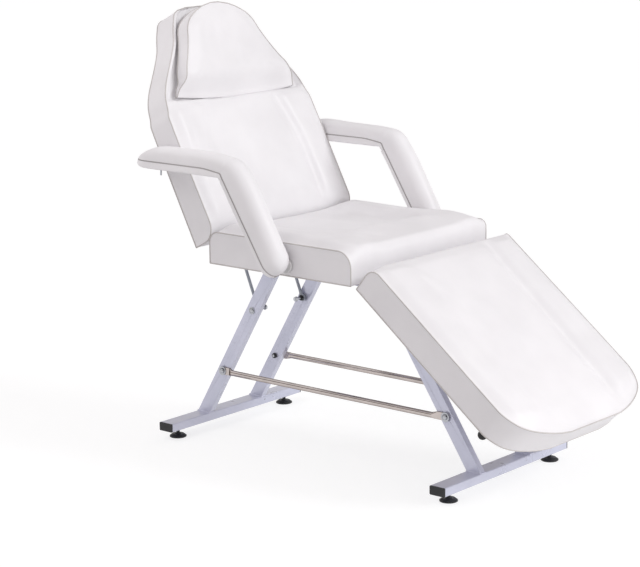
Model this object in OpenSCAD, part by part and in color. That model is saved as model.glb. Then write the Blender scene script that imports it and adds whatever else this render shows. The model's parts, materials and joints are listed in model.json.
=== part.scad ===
// Reclining three-section treatment chair: hinged back, headrest and leg rest, swinging arms.
// Origin: on the floor, midway between the head end and the foot end. +X points to the foot end.

/* [Seat] */
// Width of the seat, back and leg rest pads
pad_w = 610; // [560:5:660]
// Height of the seat's top seam above the floor
seat_top_z = 647; // [620:1:680]
// Length of the seat pad
seat_len = 509; // [490:1:530]
// Place of the seat's middle along the chair
seat_mid_x = -109.5; // [-112:0.5:-107]
// Seat pad thickness, top seam to underside
seat_thick = 90; // [80:1:100]
// Height of the side bolsters above the seam
bolster_rise = 15; // [10:1:26]
// Depth that the side panels are drawn in
draw_in = 3; // [0.5:0.5:5]
// Radius of the seat's rear top edge
seat_rear_r = 30; // [20:1:34]
// Radius of the seat's front top edge
seat_front_r = 44; // [20:1:50]
// Thickness of the plywood under each pad
board_t = 12; // [9:1:15]
// Margin of each board inside its pad
board_inset = 2; // [1:0.5:6]

/* [Back] */
// Lean of the back from upright, as shown
back_lean = 27.9; // [27:0.1:32]
// Length of the back pad
back_len = 684; // [670:1:700]
// Back pad thickness at its lower end
back_thick = 84; // [78:1:88]
// Back pad thickness at its top
back_thin = 74; // [66:1:80]
// Distance from the back hinge to the pad's lower end
back_gap = 31; // [28:1:36]
// Distance of the back hinge behind the seat pad
back_hinge_behind = 30.6; // [28:0.2:36]
// Height from the back hinge to the top seam with the back flat
back_hinge_drop = 77; // [74:1:80]
// Radius of the back pad's lower front edge
back_low_r = 48; // [40:1:54]
// Radius of the back pad's top front edge
back_top_r = 12; // [6:1:20]

/* [Headrest] */
// Place of the headrest hinge as a share of the back pad's length
head_place_share = 0.595; // [0.59:0.0005:0.6]
// Length of the headrest
head_len = 270; // [255:1:275]
// Width of the headrest at its lower edge
head_w = 516; // [480:2:530]
// Thickness of the headrest
head_thick = 40; // [32:1:44]
// Forward tilt of the headrest against the back, as shown
head_tilt = 4.5; // [3.5:0.1:8]
// Depth of the headrest hinge below the back's seam
head_sink = 12; // [10:0.5:13]
// Length over which the headrest's lower edge swells to full thickness
head_swell = 120; // [80:5:140]

/* [Leg rest] */
// Drop of the leg rest below level, as shown
leg_drop = 38.2; // [30:0.1:45]
// Length of the leg rest pad
leg_pad_len = 634; // [620:1:645]
// Thickness of the leg rest pad
leg_pad_thick = 84; // [76:1:86]
// Distance from the leg rest hinge to its pad
leg_gap = 20.3; // [18:0.1:26]
// Height from the leg rest hinge to the pad's top seam
leg_hinge_drop = 89.4; // [87:0.2:94]
// Distance of the leg rest hinge in front of the seat pad
leg_hinge_ahead = 10; // [10:0.5:14]
// Depth of the leg rest hinge below the seat pad
leg_hinge_below = 5; // [3:0.5:9]
// Radius of the leg rest's top edge next to the seat
leg_near_r = 32; // [20:1:40]
// Radius of the leg rest's top edge at the foot end
leg_far_r = 16; // [8:1:24]

/* [Arms] */
// Width of an arm
arm_w = 76; // [66:1:84]
// Gap between the pads and an arm
arm_gap = 8; // [6:0.5:12]
// Thickness of an arm's board
arm_board_t = 20; // [18:1:24]
// Height of an arm's padding above its board
arm_crown = 39; // [30:1:44]
// Length over which an arm's padding swells to full height
arm_swell = 70; // [40:2:90]
// Height of an arm's underside
arm_under_z = 821; // [810:1:832]
// Distance of an arm's rear tip behind the back hinge
arm_tip_behind = 185.4; // [181.4:0.2:191.4]
// Distance of an arm's inner corner in front of the back hinge
arm_corner_ahead = 165.6; // [154.6:0.2:174.6]
// Slope of an arm's post below level
arm_slope = 60; // [56:1:64]
// Length of an arm's post along its inner line
arm_post_len = 299; // [292:1:306]
// Inner bend radius of an arm
arm_bend_r = 10; // [6:1:20]
// Distance of an arm's pivot from the post's lower end
arm_pivot_up = 20; // [18:1:26]
// Depth of an arm's pivot in the board
arm_pivot_in = 11; // [10:0.5:12]
// Diameter of an arm's pivot bolt
arm_bolt_d = 8; // [6:0.5:8]
// Diameter of the spacer disc between seat and arm
arm_spacer_d = 40; // [30:1:48]
// Distance of the guide pin from an arm's rear tip
guide_pin_back = 12; // [11:0.5:14]
// Diameter of the guide pin
guide_pin_d = 8; // [6:0.5:8]
// Turn of an arm for each degree that the back turns
arm_turn_share = 0.54; // [0.53:0.01:0.56]

/* [Base] */
// Length of each floor rail without its end caps
rail_len = 570; // [560:2:640]
// Width of each floor rail
rail_w = 50; // [50:1:60]
// Height of each floor rail
rail_h = 25; // [22:1:32]
// Height of the floor rails above the floor
rail_z = 26; // [22:1:34]
// Wall of the rails
rail_wall = 2; // [1.5:0.25:3]
// Distance of the rear floor rail behind the rear legs' upper ends
rear_leg_splay = 286; // [275:1:305]
// Distance of the front floor rail in front of the front legs' upper ends
front_leg_splay = 320; // [311:1:331]
// Width of a leg seen from the side
leg_w = 40; // [34:1:42]
// Thickness of a leg
leg_t = 20; // [16:1:24]
// Wall of a leg
leg_wall = 2; // [1.5:0.25:2.5]
// Distance of the legs from the middle plane
leg_y = 115; // [112:1:118]
// Distance of the rear legs' upper ends inside the seat pad's rear end
rear_leg_inset = 79; // [74:1:86]
// Distance of the front legs' upper ends inside the seat pad's front end
front_leg_inset = 46; // [46:1:51]
// Height of the seat frame's tubes
frame_h = 25; // [22:1:30]
// Distance of the seat frame's side tubes from the middle plane
frame_side_y = 190; // [182:1:200]
// Diameter of the chrome foot rods
rod_d = 16; // [12:1:18]
// Height of the foot rods
rod_z = 190; // [150:1:230]
// Diameter of the foot rod bolts and strut bolts
bolt_d = 8; // [6:0.5:10]

/* [Feet] */
// Diameter of the levelling feet
foot_d = 50; // [40:1:50]
// Distance of the feet from the middle plane
foot_y = 237; // [220:1:245]
// Diameter of the foot stems
stem_d = 10; // [8:0.5:12]
// Height of the foot discs
foot_h = 9; // [7:0.5:12]

/* [Struts] */
// Distance of the struts from the middle plane
strut_y = 98; // [97:0.5:98]
// Height of the struts' lower pivots
strut_z = 386; // [380:1:392]
// Diameter of the strut rods
strut_rod_d = 9; // [7:0.5:9]
// Diameter of the strut tubes
strut_tube_d = 19; // [17:0.5:20]
// Length of the strut tubes
strut_tube_len = 222; // [205:1:226]
// Length of the strut rods
strut_rod_len = 246; // [235:1:248]
// Distance from the back hinge to the struts' upper pivots
strut_anchor_at = 193.2; // [188:0.2:198]
// Distance of the struts' upper pivots behind the back's front seam
strut_anchor_in = 105; // [104:0.5:108]

/* [Hidden] */
$fn = 48;

// Clearances and cutting overrun
over = 1;
soft_gap = 0.3;
run_gap = 0.05;
pin_gap = 0.1;
slide_gap = 1;

// Places that follow from the driving sizes
half_w = pad_w / 2;
seat_rear_x = seat_mid_x - seat_len / 2;
seat_front_x = seat_mid_x + seat_len / 2;
seat_under_z = seat_top_z - seat_thick;
frame_under_z = seat_under_z - frame_h;
rail_top_z = rail_z + rail_h;
back_raise = 90 - back_lean;
back_hinge_x = seat_rear_x - back_hinge_behind;
back_hinge_z = seat_top_z - back_hinge_drop;
leg_hinge_x = seat_front_x + leg_hinge_ahead;
leg_hinge_z = seat_under_z - leg_hinge_below;
back_under = back_hinge_drop - back_thick;
leg_under = leg_hinge_drop - leg_pad_thick;
head_hinge_at = back_gap + head_place_share * back_len;
rear_leg_top_x = seat_rear_x + rear_leg_inset;
front_leg_top_x = seat_front_x - front_leg_inset;
rear_rail_x = rear_leg_top_x - rear_leg_splay;
front_rail_x = front_leg_top_x + front_leg_splay;
arm_tip_x = back_hinge_x - arm_tip_behind;
arm_corner_x = back_hinge_x + arm_corner_ahead;
arm_in_y = half_w + arm_gap;
arm_mid_y = arm_in_y + arm_w / 2;
arm_top_z = arm_under_z + arm_board_t;
arm_pivot_along = arm_post_len - arm_pivot_up;
arm_pivot_x = arm_corner_x + arm_pivot_along * cos(arm_slope) + arm_pivot_in * sin(arm_slope);
arm_pivot_z = arm_under_z - arm_pivot_along * sin(arm_slope) + arm_pivot_in * cos(arm_slope);
guide_pin_x = arm_tip_x + guide_pin_back;
guide_pin_z = arm_under_z + arm_board_t / 2;
strut_x = leg_x(rear_rail_x, rear_leg_top_x, strut_z);
strut_anchor_z = back_hinge_drop - strut_anchor_in;

// Centre line of a leg at a height
function leg_x(foot_x, top_x, z) =
    foot_x + (top_x - foot_x) * (z - rail_top_z) / (frame_under_z - rail_top_z);

// Turns a point of the side view by an angle that raises +X towards +Z
function turn(p, a) = [p.x * cos(a) - p.y * sin(a), p.x * sin(a) + p.y * cos(a)];

// Loft through rings of equal point count, with a fan over each end ring
function loft_faces(rings, count) = concat(
    [for (i = [0:rings - 2], j = [0:count - 1])
        let (a = i * count + j, b = i * count + (j + 1) % count) [a, b + count, b]],
    [for (i = [0:rings - 2], j = [0:count - 1])
        let (a = i * count + j, b = i * count + (j + 1) % count) [a, a + count, b + count]],
    [for (j = [1:count - 2]) [0, j, j + 1]],
    [for (j = [1:count - 2]) let (z = (rings - 1) * count) [z, z + j + 1, z + j]]);

module loft(rings) {
    count = len(rings[0]);
    polyhedron([for (r = rings, p = r) p], loft_faces(len(rings), count), convexity = 8);
}

// Crown across a pad: 0 is the middle, 1 the stitched channel, 2 the side seam
crown_steps_share = [2, 1.9, 1.68, 1.4, 1.12, 1, 0.88, 0.7, 0.35, 0];
panel_crown_shares = [[0, 0.5], [0.7, 0.45], [0.88, 0.35], [1, 0.05], [1.12, 0.55],
                      [1.4, 0.95], [1.68, 0.9], [1.9, 0.42], [2, 0]];
seat_crown_shares = [[0, 0.15], [0.7, 0.35], [0.88, 0.55], [1, 0.7], [1.12, 0.85],
                     [1.4, 1], [1.68, 0.85], [1.9, 0.4], [2, 0]];

function mirrored_steps(steps) =
    concat([for (s = steps) s], [for (i = [len(steps) - 2:-1:0]) -steps[i]]);
function across(step, channel_share) = let (s = abs(step))
    sign(step) * (s <= 1 ? s * channel_share : channel_share + (s - 1) * (1 - channel_share));

// One ring of a pad, looking along its length: a flat underside, drawn-in sides and a crowned top
function pad_ring(x, x_low, half, z_low, z_top, channel_share, crown_shares, rise) =
    let (tuck = min(draw_in, (z_top - z_low) / 4), tall = z_top - z_low, lean = x_low - x)
    concat(
        [[x_low, 0, z_low], [x_low, half, z_low],
         [x + lean * 2 / 3, half - tuck * 0.8, z_low + tall / 3],
         [x + lean / 3, half - tuck, z_low + tall * 2 / 3]],
        [for (s = mirrored_steps(crown_steps_share))
            [x, half * across(s, channel_share), z_top + rise * lookup(abs(s), crown_shares)]],
        [[x + lean / 3, -half + tuck, z_low + tall * 2 / 3],
         [x + lean * 2 / 3, -half + tuck * 0.8, z_low + tall / 3], [x_low, -half, z_low]]);

// Drop of a rounded end below the seam at a distance from that end
function round_drop(d, r) = d >= r ? 0 : r - sqrt(max(0, r * r - (r - d) * (r - d)));

// Stations along a pad: fine over the rounded ends, even between
edge_angles = [0, 25, 50, 75, 90];
function stations(length, r_near, r_far, count) = concat(
    [for (a = edge_angles) r_near * (1 - cos(a))],
    [for (i = [1:count]) r_near + (length - r_near - r_far) * i / (count + 1)],
    [for (i = [len(edge_angles) - 1:-1:0]) length - r_far * (1 - cos(edge_angles[i]))]);

// Outline shared by the two repeated sides of the chair
module both_sides() {
    children();
    mirror([0, 1, 0]) children();
}
module on_side(side) {
    if (side > 0) children();
    else mirror([0, 1, 0]) children();
}
module side_plate(y, thick) {
    translate([0, y + thick, 0]) rotate([90, 0, 0]) linear_extrude(thick) children();
}
module cross_pin(x, z, y, length, d) {
    translate([x, y + length, z]) rotate([90, 0, 0]) cylinder(length, d = d);
}
module hex_across(x, z, y, length, flats) {
    translate([x, y + length, z]) rotate([90, 0, 0]) cylinder(length, d = flats / cos(30), $fn = 6);
}
module in_back() {
    translate([back_hinge_x, 0, back_hinge_z]) rotate([0, back_raise, 0]) children();
}
module in_headrest() {
    in_back() translate([-head_hinge_at, 0, back_hinge_drop - head_sink])
        rotate([0, head_tilt, 0]) children();
}
module in_leg_rest() {
    translate([leg_hinge_x, 0, leg_hinge_z]) rotate([0, leg_drop, 0]) children();
}
module round_bar_2d(width, height, r) {
    square([width - 2 * r, height], center = true);
    square([width, height - 2 * r], center = true);
    for (sx = [-1, 1], sy = [-1, 1])
        translate([sx * (width / 2 - r), sy * (height / 2 - r)]) circle(r, $fn = 24);
}

// Base: floor rails, legs, foot rods and their fasteners
rail_corner_r = 3;
cap_t = 3;
cap_plug = 12;
boss_d = 18;
boss_h = 14;
module rail(x) {
    color([0.80, 0.79, 0.86]) difference() {
        union() {
            translate([x, rail_len / 2, rail_z + rail_h / 2]) rotate([90, 0, 0])
                difference() {
                    linear_extrude(rail_len) round_bar_2d(rail_w, rail_h, rail_corner_r);
                    translate([0, 0, -over]) linear_extrude(rail_len + 2 * over)
                        round_bar_2d(rail_w - 2 * rail_wall, rail_h - 2 * rail_wall, rail_corner_r / 2);
                }
            for (side = [-1, 1])
                translate([x, side * foot_y, rail_z + rail_wall / 2]) cylinder(boss_h, d = boss_d);
        }
        for (side = [-1, 1])
            translate([x, side * foot_y, rail_z - over])
                cylinder(boss_h + rail_wall + 2 * over, r = stem_d / 2 + run_gap);
    }
}
module rear_rail() { rail(rear_rail_x); }
module front_rail() { rail(front_rail_x); }

module rail_end_caps() {
    color([0.14, 0.14, 0.15])
        for (x = [rear_rail_x, front_rail_x], side = [-1, 1])
            on_side(side) translate([x, rail_len / 2, rail_z + rail_h / 2]) rotate([-90, 0, 0]) {
                linear_extrude(cap_t) round_bar_2d(rail_w, rail_h, rail_corner_r);
                translate([0, 0, -cap_plug]) linear_extrude(cap_plug)
                    round_bar_2d(rail_w - 2 * rail_wall - soft_gap, rail_h - 2 * rail_wall - soft_gap,
                                 rail_corner_r / 2);
            }
}

// Side view of a leg, cut level at both ends
module leg_2d(foot_x, top_x, margin, run) {
    slope_x = (top_x - foot_x) / (frame_under_z - rail_top_z);
    half = (leg_w / 2 - margin) * sqrt(1 + slope_x * slope_x);
    polygon([[foot_x - half - slope_x * run, rail_top_z - run],
             [foot_x + half - slope_x * run, rail_top_z - run],
             [top_x + half + slope_x * run, frame_under_z + run],
             [top_x - half + slope_x * run, frame_under_z + run]]);
}
module leg(foot_x, top_x, hole_heights) {
    color([0.74, 0.74, 0.82]) difference() {
        side_plate(leg_y - leg_t / 2, leg_t) leg_2d(foot_x, top_x, 0, 0);
        side_plate(leg_y - leg_t / 2 + leg_wall, leg_t - 2 * leg_wall)
            leg_2d(foot_x, top_x, leg_wall, over);
        for (z = hole_heights)
            cross_pin(leg_x(foot_x, top_x, z), z, leg_y - leg_t, leg_t * 2, bolt_d + 2 * run_gap);
    }
}
module left_rear_leg() { leg(rear_rail_x, rear_leg_top_x, [rod_z, strut_z]); }
module right_rear_leg() { mirror([0, 1, 0]) leg(rear_rail_x, rear_leg_top_x, [rod_z, strut_z]); }
module left_front_leg() { leg(front_rail_x, front_leg_top_x, [rod_z]); }
module right_front_leg() { mirror([0, 1, 0]) leg(front_rail_x, front_leg_top_x, [rod_z]); }

// A round bar with a flattened, drilled tab at each end, lying on the outside of the legs
tab_t = 4;
tab_w = 22;
tab_past = 22;
tab_in = 26;
tab_neck = 16;
rod_y = leg_y + leg_t / 2 + tab_t / 2;
module foot_rod() {
    rear_x = leg_x(rear_rail_x, rear_leg_top_x, rod_z);
    front_x = leg_x(front_rail_x, front_leg_top_x, rod_z);
    bar_rear_x = rear_x + tab_in + tab_neck;
    bar_front_x = front_x - tab_in - tab_neck;
    bar_y = leg_y + leg_t / 2 + rod_d / 2;
    color([0.86, 0.83, 0.82]) {
        difference() {
            for (end = [[rear_x, 1], [front_x, -1]])
                translate([end[0], rod_y + tab_t / 2, rod_z]) rotate([90, 0, 0]) {
                    cylinder(tab_t, d = tab_w);
                    translate([end[1] > 0 ? 0 : -tab_in, -tab_w / 2, 0])
                        cube([tab_in, tab_w, tab_t]);
                }
            for (x = [rear_x, front_x])
                cross_pin(x, rod_z, rod_y - tab_t, tab_t * 2, bolt_d + 2 * run_gap);
        }
        for (end = [[rear_x + tab_in, 1], [front_x - tab_in, -1]])
            hull() {
                translate([end[0] - (end[1] > 0 ? 0 : over / 2), rod_y - tab_t / 2, rod_z - tab_w / 2])
                    cube([over / 2, tab_t, tab_w]);
                translate([end[0] + end[1] * tab_neck, bar_y, rod_z]) rotate([0, 90, 0])
                    cylinder(over / 2, d = rod_d, center = true, $fn = 32);
            }
        translate([bar_rear_x, bar_y, rod_z]) rotate([0, 90, 0])
            cylinder(bar_front_x - bar_rear_x, d = rod_d);
    }
}
module left_foot_rod() { foot_rod(); }
module right_foot_rod() { mirror([0, 1, 0]) foot_rod(); }

// Bolts through the legs: four for the foot rods, two for the struts
bolt_head_h = 6;
bolt_head_w = 14;
washer_t = 1.6;
washer_d = 20;
nut_h = 7;
spade_t = 5;
tab_out_y = leg_y + leg_t / 2 + tab_t;
leg_in_y = leg_y - leg_t / 2;
spade_in_y = strut_y - spade_t / 2;
module domed_bolt(x, z, y_in, y_head) {
    cross_pin(x, z, y_in, y_head - y_in, bolt_d);
    hex_across(x, z, y_head, bolt_head_h * 0.6, bolt_head_w);
    translate([x, y_head + bolt_head_h * 0.6, z]) rotate([-90, 0, 0])
        cylinder(bolt_head_h * 0.4, d1 = bolt_head_w, d2 = bolt_head_w * 0.6);
}
module leg_bolts() {
    color([0.72, 0.71, 0.73]) both_sides() {
        for (leg = [[rear_rail_x, rear_leg_top_x], [front_rail_x, front_leg_top_x]])
            domed_bolt(leg_x(leg[0], leg[1], rod_z), rod_z, leg_in_y - nut_h - washer_t,
                       tab_out_y + washer_t);
        domed_bolt(strut_x, strut_z, spade_in_y - nut_h - washer_t, leg_y + leg_t / 2);
    }
}
module washer(x, z, y, thick, d) {
    difference() {
        cross_pin(x, z, y, thick, d);
        cross_pin(x, z, y - over, thick + 2 * over, bolt_d + pin_gap);
    }
}
module rod_washers() {
    color([0.78, 0.77, 0.78]) both_sides()
        for (leg = [[rear_rail_x, rear_leg_top_x], [front_rail_x, front_leg_top_x]])
            washer(leg_x(leg[0], leg[1], rod_z), rod_z, tab_out_y, washer_t, washer_d);
}
module nut(x, z, y) {
    difference() {
        hex_across(x, z, y, nut_h, bolt_head_w);
        cross_pin(x, z, y - over, nut_h + 2 * over, bolt_d + pin_gap);
    }
}
module leg_nuts() {
    color([0.15, 0.15, 0.16]) both_sides() {
        for (leg = [[rear_rail_x, rear_leg_top_x], [front_rail_x, front_leg_top_x]])
            nut(leg_x(leg[0], leg[1], rod_z), rod_z, leg_in_y - nut_h);
        nut(strut_x, strut_z, spade_in_y - nut_h - pin_gap);
    }
}
module strut_spacers() {
    spacer_y = strut_y + spade_t / 2 + pin_gap;
    color([0.15, 0.15, 0.16]) both_sides()
        washer(strut_x, strut_z, spacer_y, leg_in_y - spacer_y, washer_d * 0.8);
}

// Seat frame: two cross tubes on the legs, two side tubes between them
cross_tube_len = 2 * (frame_side_y + frame_h / 2);
module box_tube_y(x, z_low, length, width, height) {
    translate([x, length / 2, z_low + height / 2]) rotate([90, 0, 0]) difference() {
        linear_extrude(length) round_bar_2d(width, height, rail_corner_r);
        translate([0, 0, -over]) linear_extrude(length + 2 * over)
            round_bar_2d(width - 2 * rail_wall, height - 2 * rail_wall, rail_corner_r / 2);
    }
}
module box_tube_x(x, y, z_low, length, width, height) {
    translate([x, y, z_low + height / 2]) rotate([90, 0, 90]) difference() {
        linear_extrude(length) round_bar_2d(width, height, rail_corner_r);
        translate([0, 0, -over]) linear_extrude(length + 2 * over)
            round_bar_2d(width - 2 * rail_wall, height - 2 * rail_wall, rail_corner_r / 2);
    }
}
module seat_cross_tubes() {
    color([0.76, 0.76, 0.84])
        for (x = [rear_leg_top_x, front_leg_top_x])
            box_tube_y(x, frame_under_z, cross_tube_len, rail_w, frame_h);
}
module seat_side_tubes() {
    side_from = rear_leg_top_x + rail_w / 2;
    color([0.76, 0.76, 0.84]) both_sides()
        box_tube_x(side_from, frame_side_y, frame_under_z, front_leg_top_x - rail_w / 2 - side_from,
                   frame_h, frame_h);
}
module seat_board() {
    color([0.80, 0.68, 0.50])
        translate([seat_rear_x + board_inset, -half_w + board_inset, seat_under_z])
            cube([seat_len - 2 * board_inset, pad_w - 2 * board_inset, board_t]);
}

// Seat cushion: dished middle, raised side bolsters and a front roll
seat_channel_share = 0.6;
front_roll_share = 0.8;
seat_stations = stations(seat_len, seat_rear_r, seat_front_r, 14);
function seat_ramp(x) = lookup(x / seat_len, [[0, 0], [0.06, 0.1], [0.16, 0.85], [0.3, 1], [0.86, 1],
                                              [0.94, 0.75], [1, 0]]);
function seat_rise_table(x) = let (roll = lookup(x / seat_len, [[0.72, 0], [0.84, front_roll_share],
                                                                [0.92, front_roll_share], [1, 0.2]]))
    [for (p = seat_crown_shares) [p[0], p[0] == 2 ? 0 : max(p[1], roll * min(1, 2 - p[0]))]];
module seat_cushion() {
    z_low = seat_under_z + board_t;
    color([0.93, 0.92, 0.93]) difference() {
        loft([for (x = seat_stations)
            pad_ring(seat_rear_x + x, seat_rear_x + x, half_w, z_low,
                     seat_top_z - round_drop(x, seat_rear_r) - round_drop(seat_len - x, seat_front_r),
                     seat_channel_share, seat_rise_table(x), bolster_rise * seat_ramp(x))]);
        both_sides() {
            translate([arm_pivot_x - bracket_l / 2 - soft_gap, bracket_in_y - soft_gap, z_low - over])
                cube([bracket_l + 2 * soft_gap, bracket_out_y - bracket_in_y + 2 * soft_gap,
                      bracket_up_z - z_low + over + soft_gap]);
            cross_pin(arm_pivot_x, arm_pivot_z, bracket_out_y, half_w, arm_bolt_d + 2 * soft_gap);
        }
    }
}

// Arm pivots: steel angles on the seat board, shoulder bolts, nuts and spacers
bracket_l = 50;
bracket_foot = 46;
bracket_t = 6;
bracket_side_in = 14;
bracket_out_y = half_w - bracket_side_in;
bracket_in_y = bracket_out_y - bracket_foot;
bracket_head = 20;
bracket_up_z = arm_pivot_z + bracket_head;
arm_nut_h = 7;
arm_nut_flats = 13;
arm_head_h = 8;
arm_bush_d = 13;
arm_head_d = arm_bush_d - 2 * pin_gap;
arm_bolt_end_in = 17;
arm_bolt_end_y = arm_in_y + arm_w - arm_bolt_end_in;
module arm_brackets() {
    board_top_z = seat_under_z + board_t;
    color([0.62, 0.62, 0.64]) both_sides() difference() {
        union() {
            translate([arm_pivot_x - bracket_l / 2, bracket_in_y, board_top_z])
                cube([bracket_l, bracket_foot, bracket_t]);
            translate([arm_pivot_x - bracket_l / 2, bracket_out_y - bracket_t, board_top_z])
                cube([bracket_l, bracket_t, bracket_up_z - board_top_z]);
        }
        cross_pin(arm_pivot_x, arm_pivot_z, bracket_out_y - 2 * bracket_t, 3 * bracket_t,
                  arm_bolt_d + 2 * run_gap);
    }
}
module arm_bolts() {
    bolt_in_y = bracket_out_y - bracket_t - arm_nut_h - arm_nut_h / 3;
    color([0.70, 0.70, 0.72]) both_sides() {
        cross_pin(arm_pivot_x, arm_pivot_z, bolt_in_y, arm_bolt_end_y - bolt_in_y, arm_bolt_d);
        cross_pin(arm_pivot_x, arm_pivot_z, arm_bolt_end_y, arm_head_h, arm_head_d);
    }
}
module arm_nuts() {
    nut_y = bracket_out_y - bracket_t - arm_nut_h;
    color([0.70, 0.70, 0.72]) both_sides() difference() {
        hex_across(arm_pivot_x, arm_pivot_z, nut_y, arm_nut_h, arm_nut_flats);
        cross_pin(arm_pivot_x, arm_pivot_z, nut_y - over, arm_nut_h + 2 * over, arm_bolt_d + pin_gap);
    }
}
module arm_spacers() {
    color([0.90, 0.90, 0.90]) both_sides() difference() {
        cross_pin(arm_pivot_x, arm_pivot_z, half_w, arm_gap - soft_gap, arm_spacer_d);
        cross_pin(arm_pivot_x, arm_pivot_z, half_w - over, arm_gap + over, arm_bolt_d + pin_gap);
    }
}

// Hinges of the back and of the leg rest: eared plates that turn side by side on short pins
ear_t = 6;
ear_y = 150;
ear_gap = 1.5;
hinge_pin_d = 12;
hinge_eye_r = 14;
leg_eye_r = 9;
leg_pin_d = 8;
pin_head_t = 3;
pin_head_over = 3;
module back_hinge_ears() {
    root_x = rear_leg_top_x - rail_w / 2;
    knee_x = back_hinge_x + hinge_eye_r / 2;
    color([0.62, 0.62, 0.64]) both_sides() side_plate(ear_y, ear_t) difference() {
        union() {
            translate([knee_x, frame_under_z + rail_wall])
                square([root_x - knee_x, frame_h - 2 * rail_wall]);
            translate([back_hinge_x, back_hinge_z]) circle(hinge_eye_r);
            polygon([[back_hinge_x - hinge_eye_r, back_hinge_z],
                     [knee_x - hinge_eye_r / 2, frame_under_z + rail_wall],
                     [knee_x + hinge_eye_r, frame_under_z + rail_wall],
                     [knee_x + hinge_eye_r, seat_under_z - rail_wall],
                     [back_hinge_x + hinge_eye_r, back_hinge_z]]);
        }
        translate([back_hinge_x, back_hinge_z]) circle(hinge_pin_d / 2 + run_gap);
    }
}
module hinge_pin(x, z, y, length, d) {
    cross_pin(x, z, y, length, d);
    cross_pin(x, z, y - pin_head_t, pin_head_t, d + 2 * pin_head_over);
    cross_pin(x, z, y + length, pin_head_t, d + 2 * pin_head_over);
}
back_plate_y = ear_y + ear_t + ear_gap;
tube_s = 25;
back_tube_y = back_plate_y + ear_t + tube_s / 2;
module back_hinge_pins() {
    color([0.70, 0.70, 0.72]) both_sides()
        hinge_pin(back_hinge_x, back_hinge_z, ear_y, 2 * ear_t + ear_gap + pin_gap, hinge_pin_d);
}

leg_ear_y = 154;
leg_plate_y = leg_ear_y + ear_t + ear_gap;
leg_tube_s = 20;
leg_tube_y = leg_plate_y + ear_t + leg_tube_s / 2;
module leg_hinge_ears() {
    root_x = front_leg_top_x + rail_w / 2;
    color([0.62, 0.62, 0.64]) both_sides() side_plate(leg_ear_y, ear_t) difference() {
        union() {
            translate([leg_hinge_x, leg_hinge_z]) circle(leg_eye_r);
            polygon([[root_x, frame_under_z + rail_wall], [leg_hinge_x, leg_hinge_z - leg_eye_r],
                     [leg_hinge_x, seat_under_z - leg_hinge_below / 5],
                     [root_x, seat_under_z - leg_hinge_below / 5]]);
        }
        translate([leg_hinge_x, leg_hinge_z]) circle(leg_pin_d / 2 + run_gap);
    }
}
module leg_hinge_pins() {
    color([0.70, 0.70, 0.72]) both_sides()
        hinge_pin(leg_hinge_x, leg_hinge_z, leg_ear_y, 2 * ear_t + ear_gap + pin_gap, leg_pin_d);
}

// Back, drawn flat along -X from its hinge and then raised
back_width_shares = [[0, 1], [0.53, 1], [0.56, 0.977], [0.62, 0.941], [0.677, 0.869],
                     [0.735, 0.767], [0.793, 0.662], [0.852, 0.567], [0.91, 0.505],
                     [0.968, 0.43], [0.985, 0.395], [1, 0.3]];
back_channel_shares = [[0, 0.6], [0.35, 0.6], [0.46, 0.555], [0.55, 0.51], [0.6, 0.5], [1, 0.5]];
back_length_shares = [0.13, 0.2, 0.27, 0.34, 0.41, 0.47, 0.53, 0.555, 0.572, 0.598, 0.62, 0.668,
                      0.705, 0.741, 0.793, 0.852, 0.91, 0.945, 0.968];
head_bed_shares = [[0.572, 0], [0.598, 1], [0.62, 0.97], [0.668, 0.74], [0.741, 0.49],
                   [0.814, 0.24], [0.88, 0], [1, 0]];
head_bed_depth = 16;
back_stations = concat(
    [for (a = edge_angles) back_low_r * (1 - cos(a))],
    [for (s = back_length_shares) s * back_len],
    [for (i = [len(edge_angles) - 1:-1:0]) back_len - back_top_r * (1 - cos(edge_angles[i]))]);
function back_half(x) = half_w * lookup(x / back_len, back_width_shares);
function back_low_z(x) = back_under + (back_thick - back_thin) * x / back_len;
function back_rise(x) = bolster_rise * lookup(x / back_len, [[0, 0], [0.07, 0.25], [0.14, 1],
                                                             [0.5, 1], [0.555, 0.15], [1, 0.1]]);
function back_crown(x) = let (bed = head_bed_depth * lookup(x / back_len, head_bed_shares),
                              rise = back_rise(x))
    [for (p = panel_crown_shares)
        [p[0], rise * p[1] - bed * (p[0] < 1.8 ? 1 : p[0] < 2 ? 0.75 : 0)]];
module back_cushion() {
    color([0.93, 0.92, 0.93]) in_back() difference() {
        loft([for (x = back_stations)
            pad_ring(-back_gap - x, -back_gap - x, back_half(x), back_low_z(x) + board_t,
                     back_hinge_drop - round_drop(x, back_low_r) - round_drop(back_len - x, back_top_r),
                     lookup(x / back_len, back_channel_shares), back_crown(x), 1)]);
        both_sides() head_base_pocket();
    }
}
module back_outline_2d(margin) {
    side = [for (s = back_width_shares) [-back_gap - margin - s[0] * (back_len - 2 * margin),
                                         half_w * s[1] - margin]];
    polygon(concat(side, [for (i = [len(side) - 1:-1:0]) [side[i].x, -side[i].y]]));
}
module back_board() {
    taper = atan((back_thick - back_thin) / back_len);
    color([0.80, 0.68, 0.50]) in_back()
        translate([-back_gap, 0, back_under]) rotate([0, taper, 0]) translate([back_gap, 0, 0])
            difference() {
                linear_extrude(board_t - soft_gap) back_outline_2d(board_inset);
                both_sides() translate([-head_hinge_at + post_x, head_hinge_y, -over])
                    cylinder(board_t + 2 * over, r = post_d / 2 + soft_gap);
            }
}
back_tube_from = 50;
back_tube_short = 214;
back_tube_len = back_len - back_tube_short;
plate_grip = 90;
back_taper = atan((back_thick - back_thin) / back_len);
module on_back_board() {
    in_back() translate([-back_gap, 0, back_under]) rotate([0, back_taper, 0]) children();
}
module back_side_tubes() {
    color([0.76, 0.76, 0.84]) both_sides() on_back_board()
        box_tube_x(-back_tube_from - back_tube_len + back_gap, back_tube_y, -tube_s, back_tube_len,
                   tube_s, tube_s);
}
lug_lead = 30;
upper_tube_in = 116.8;
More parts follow.
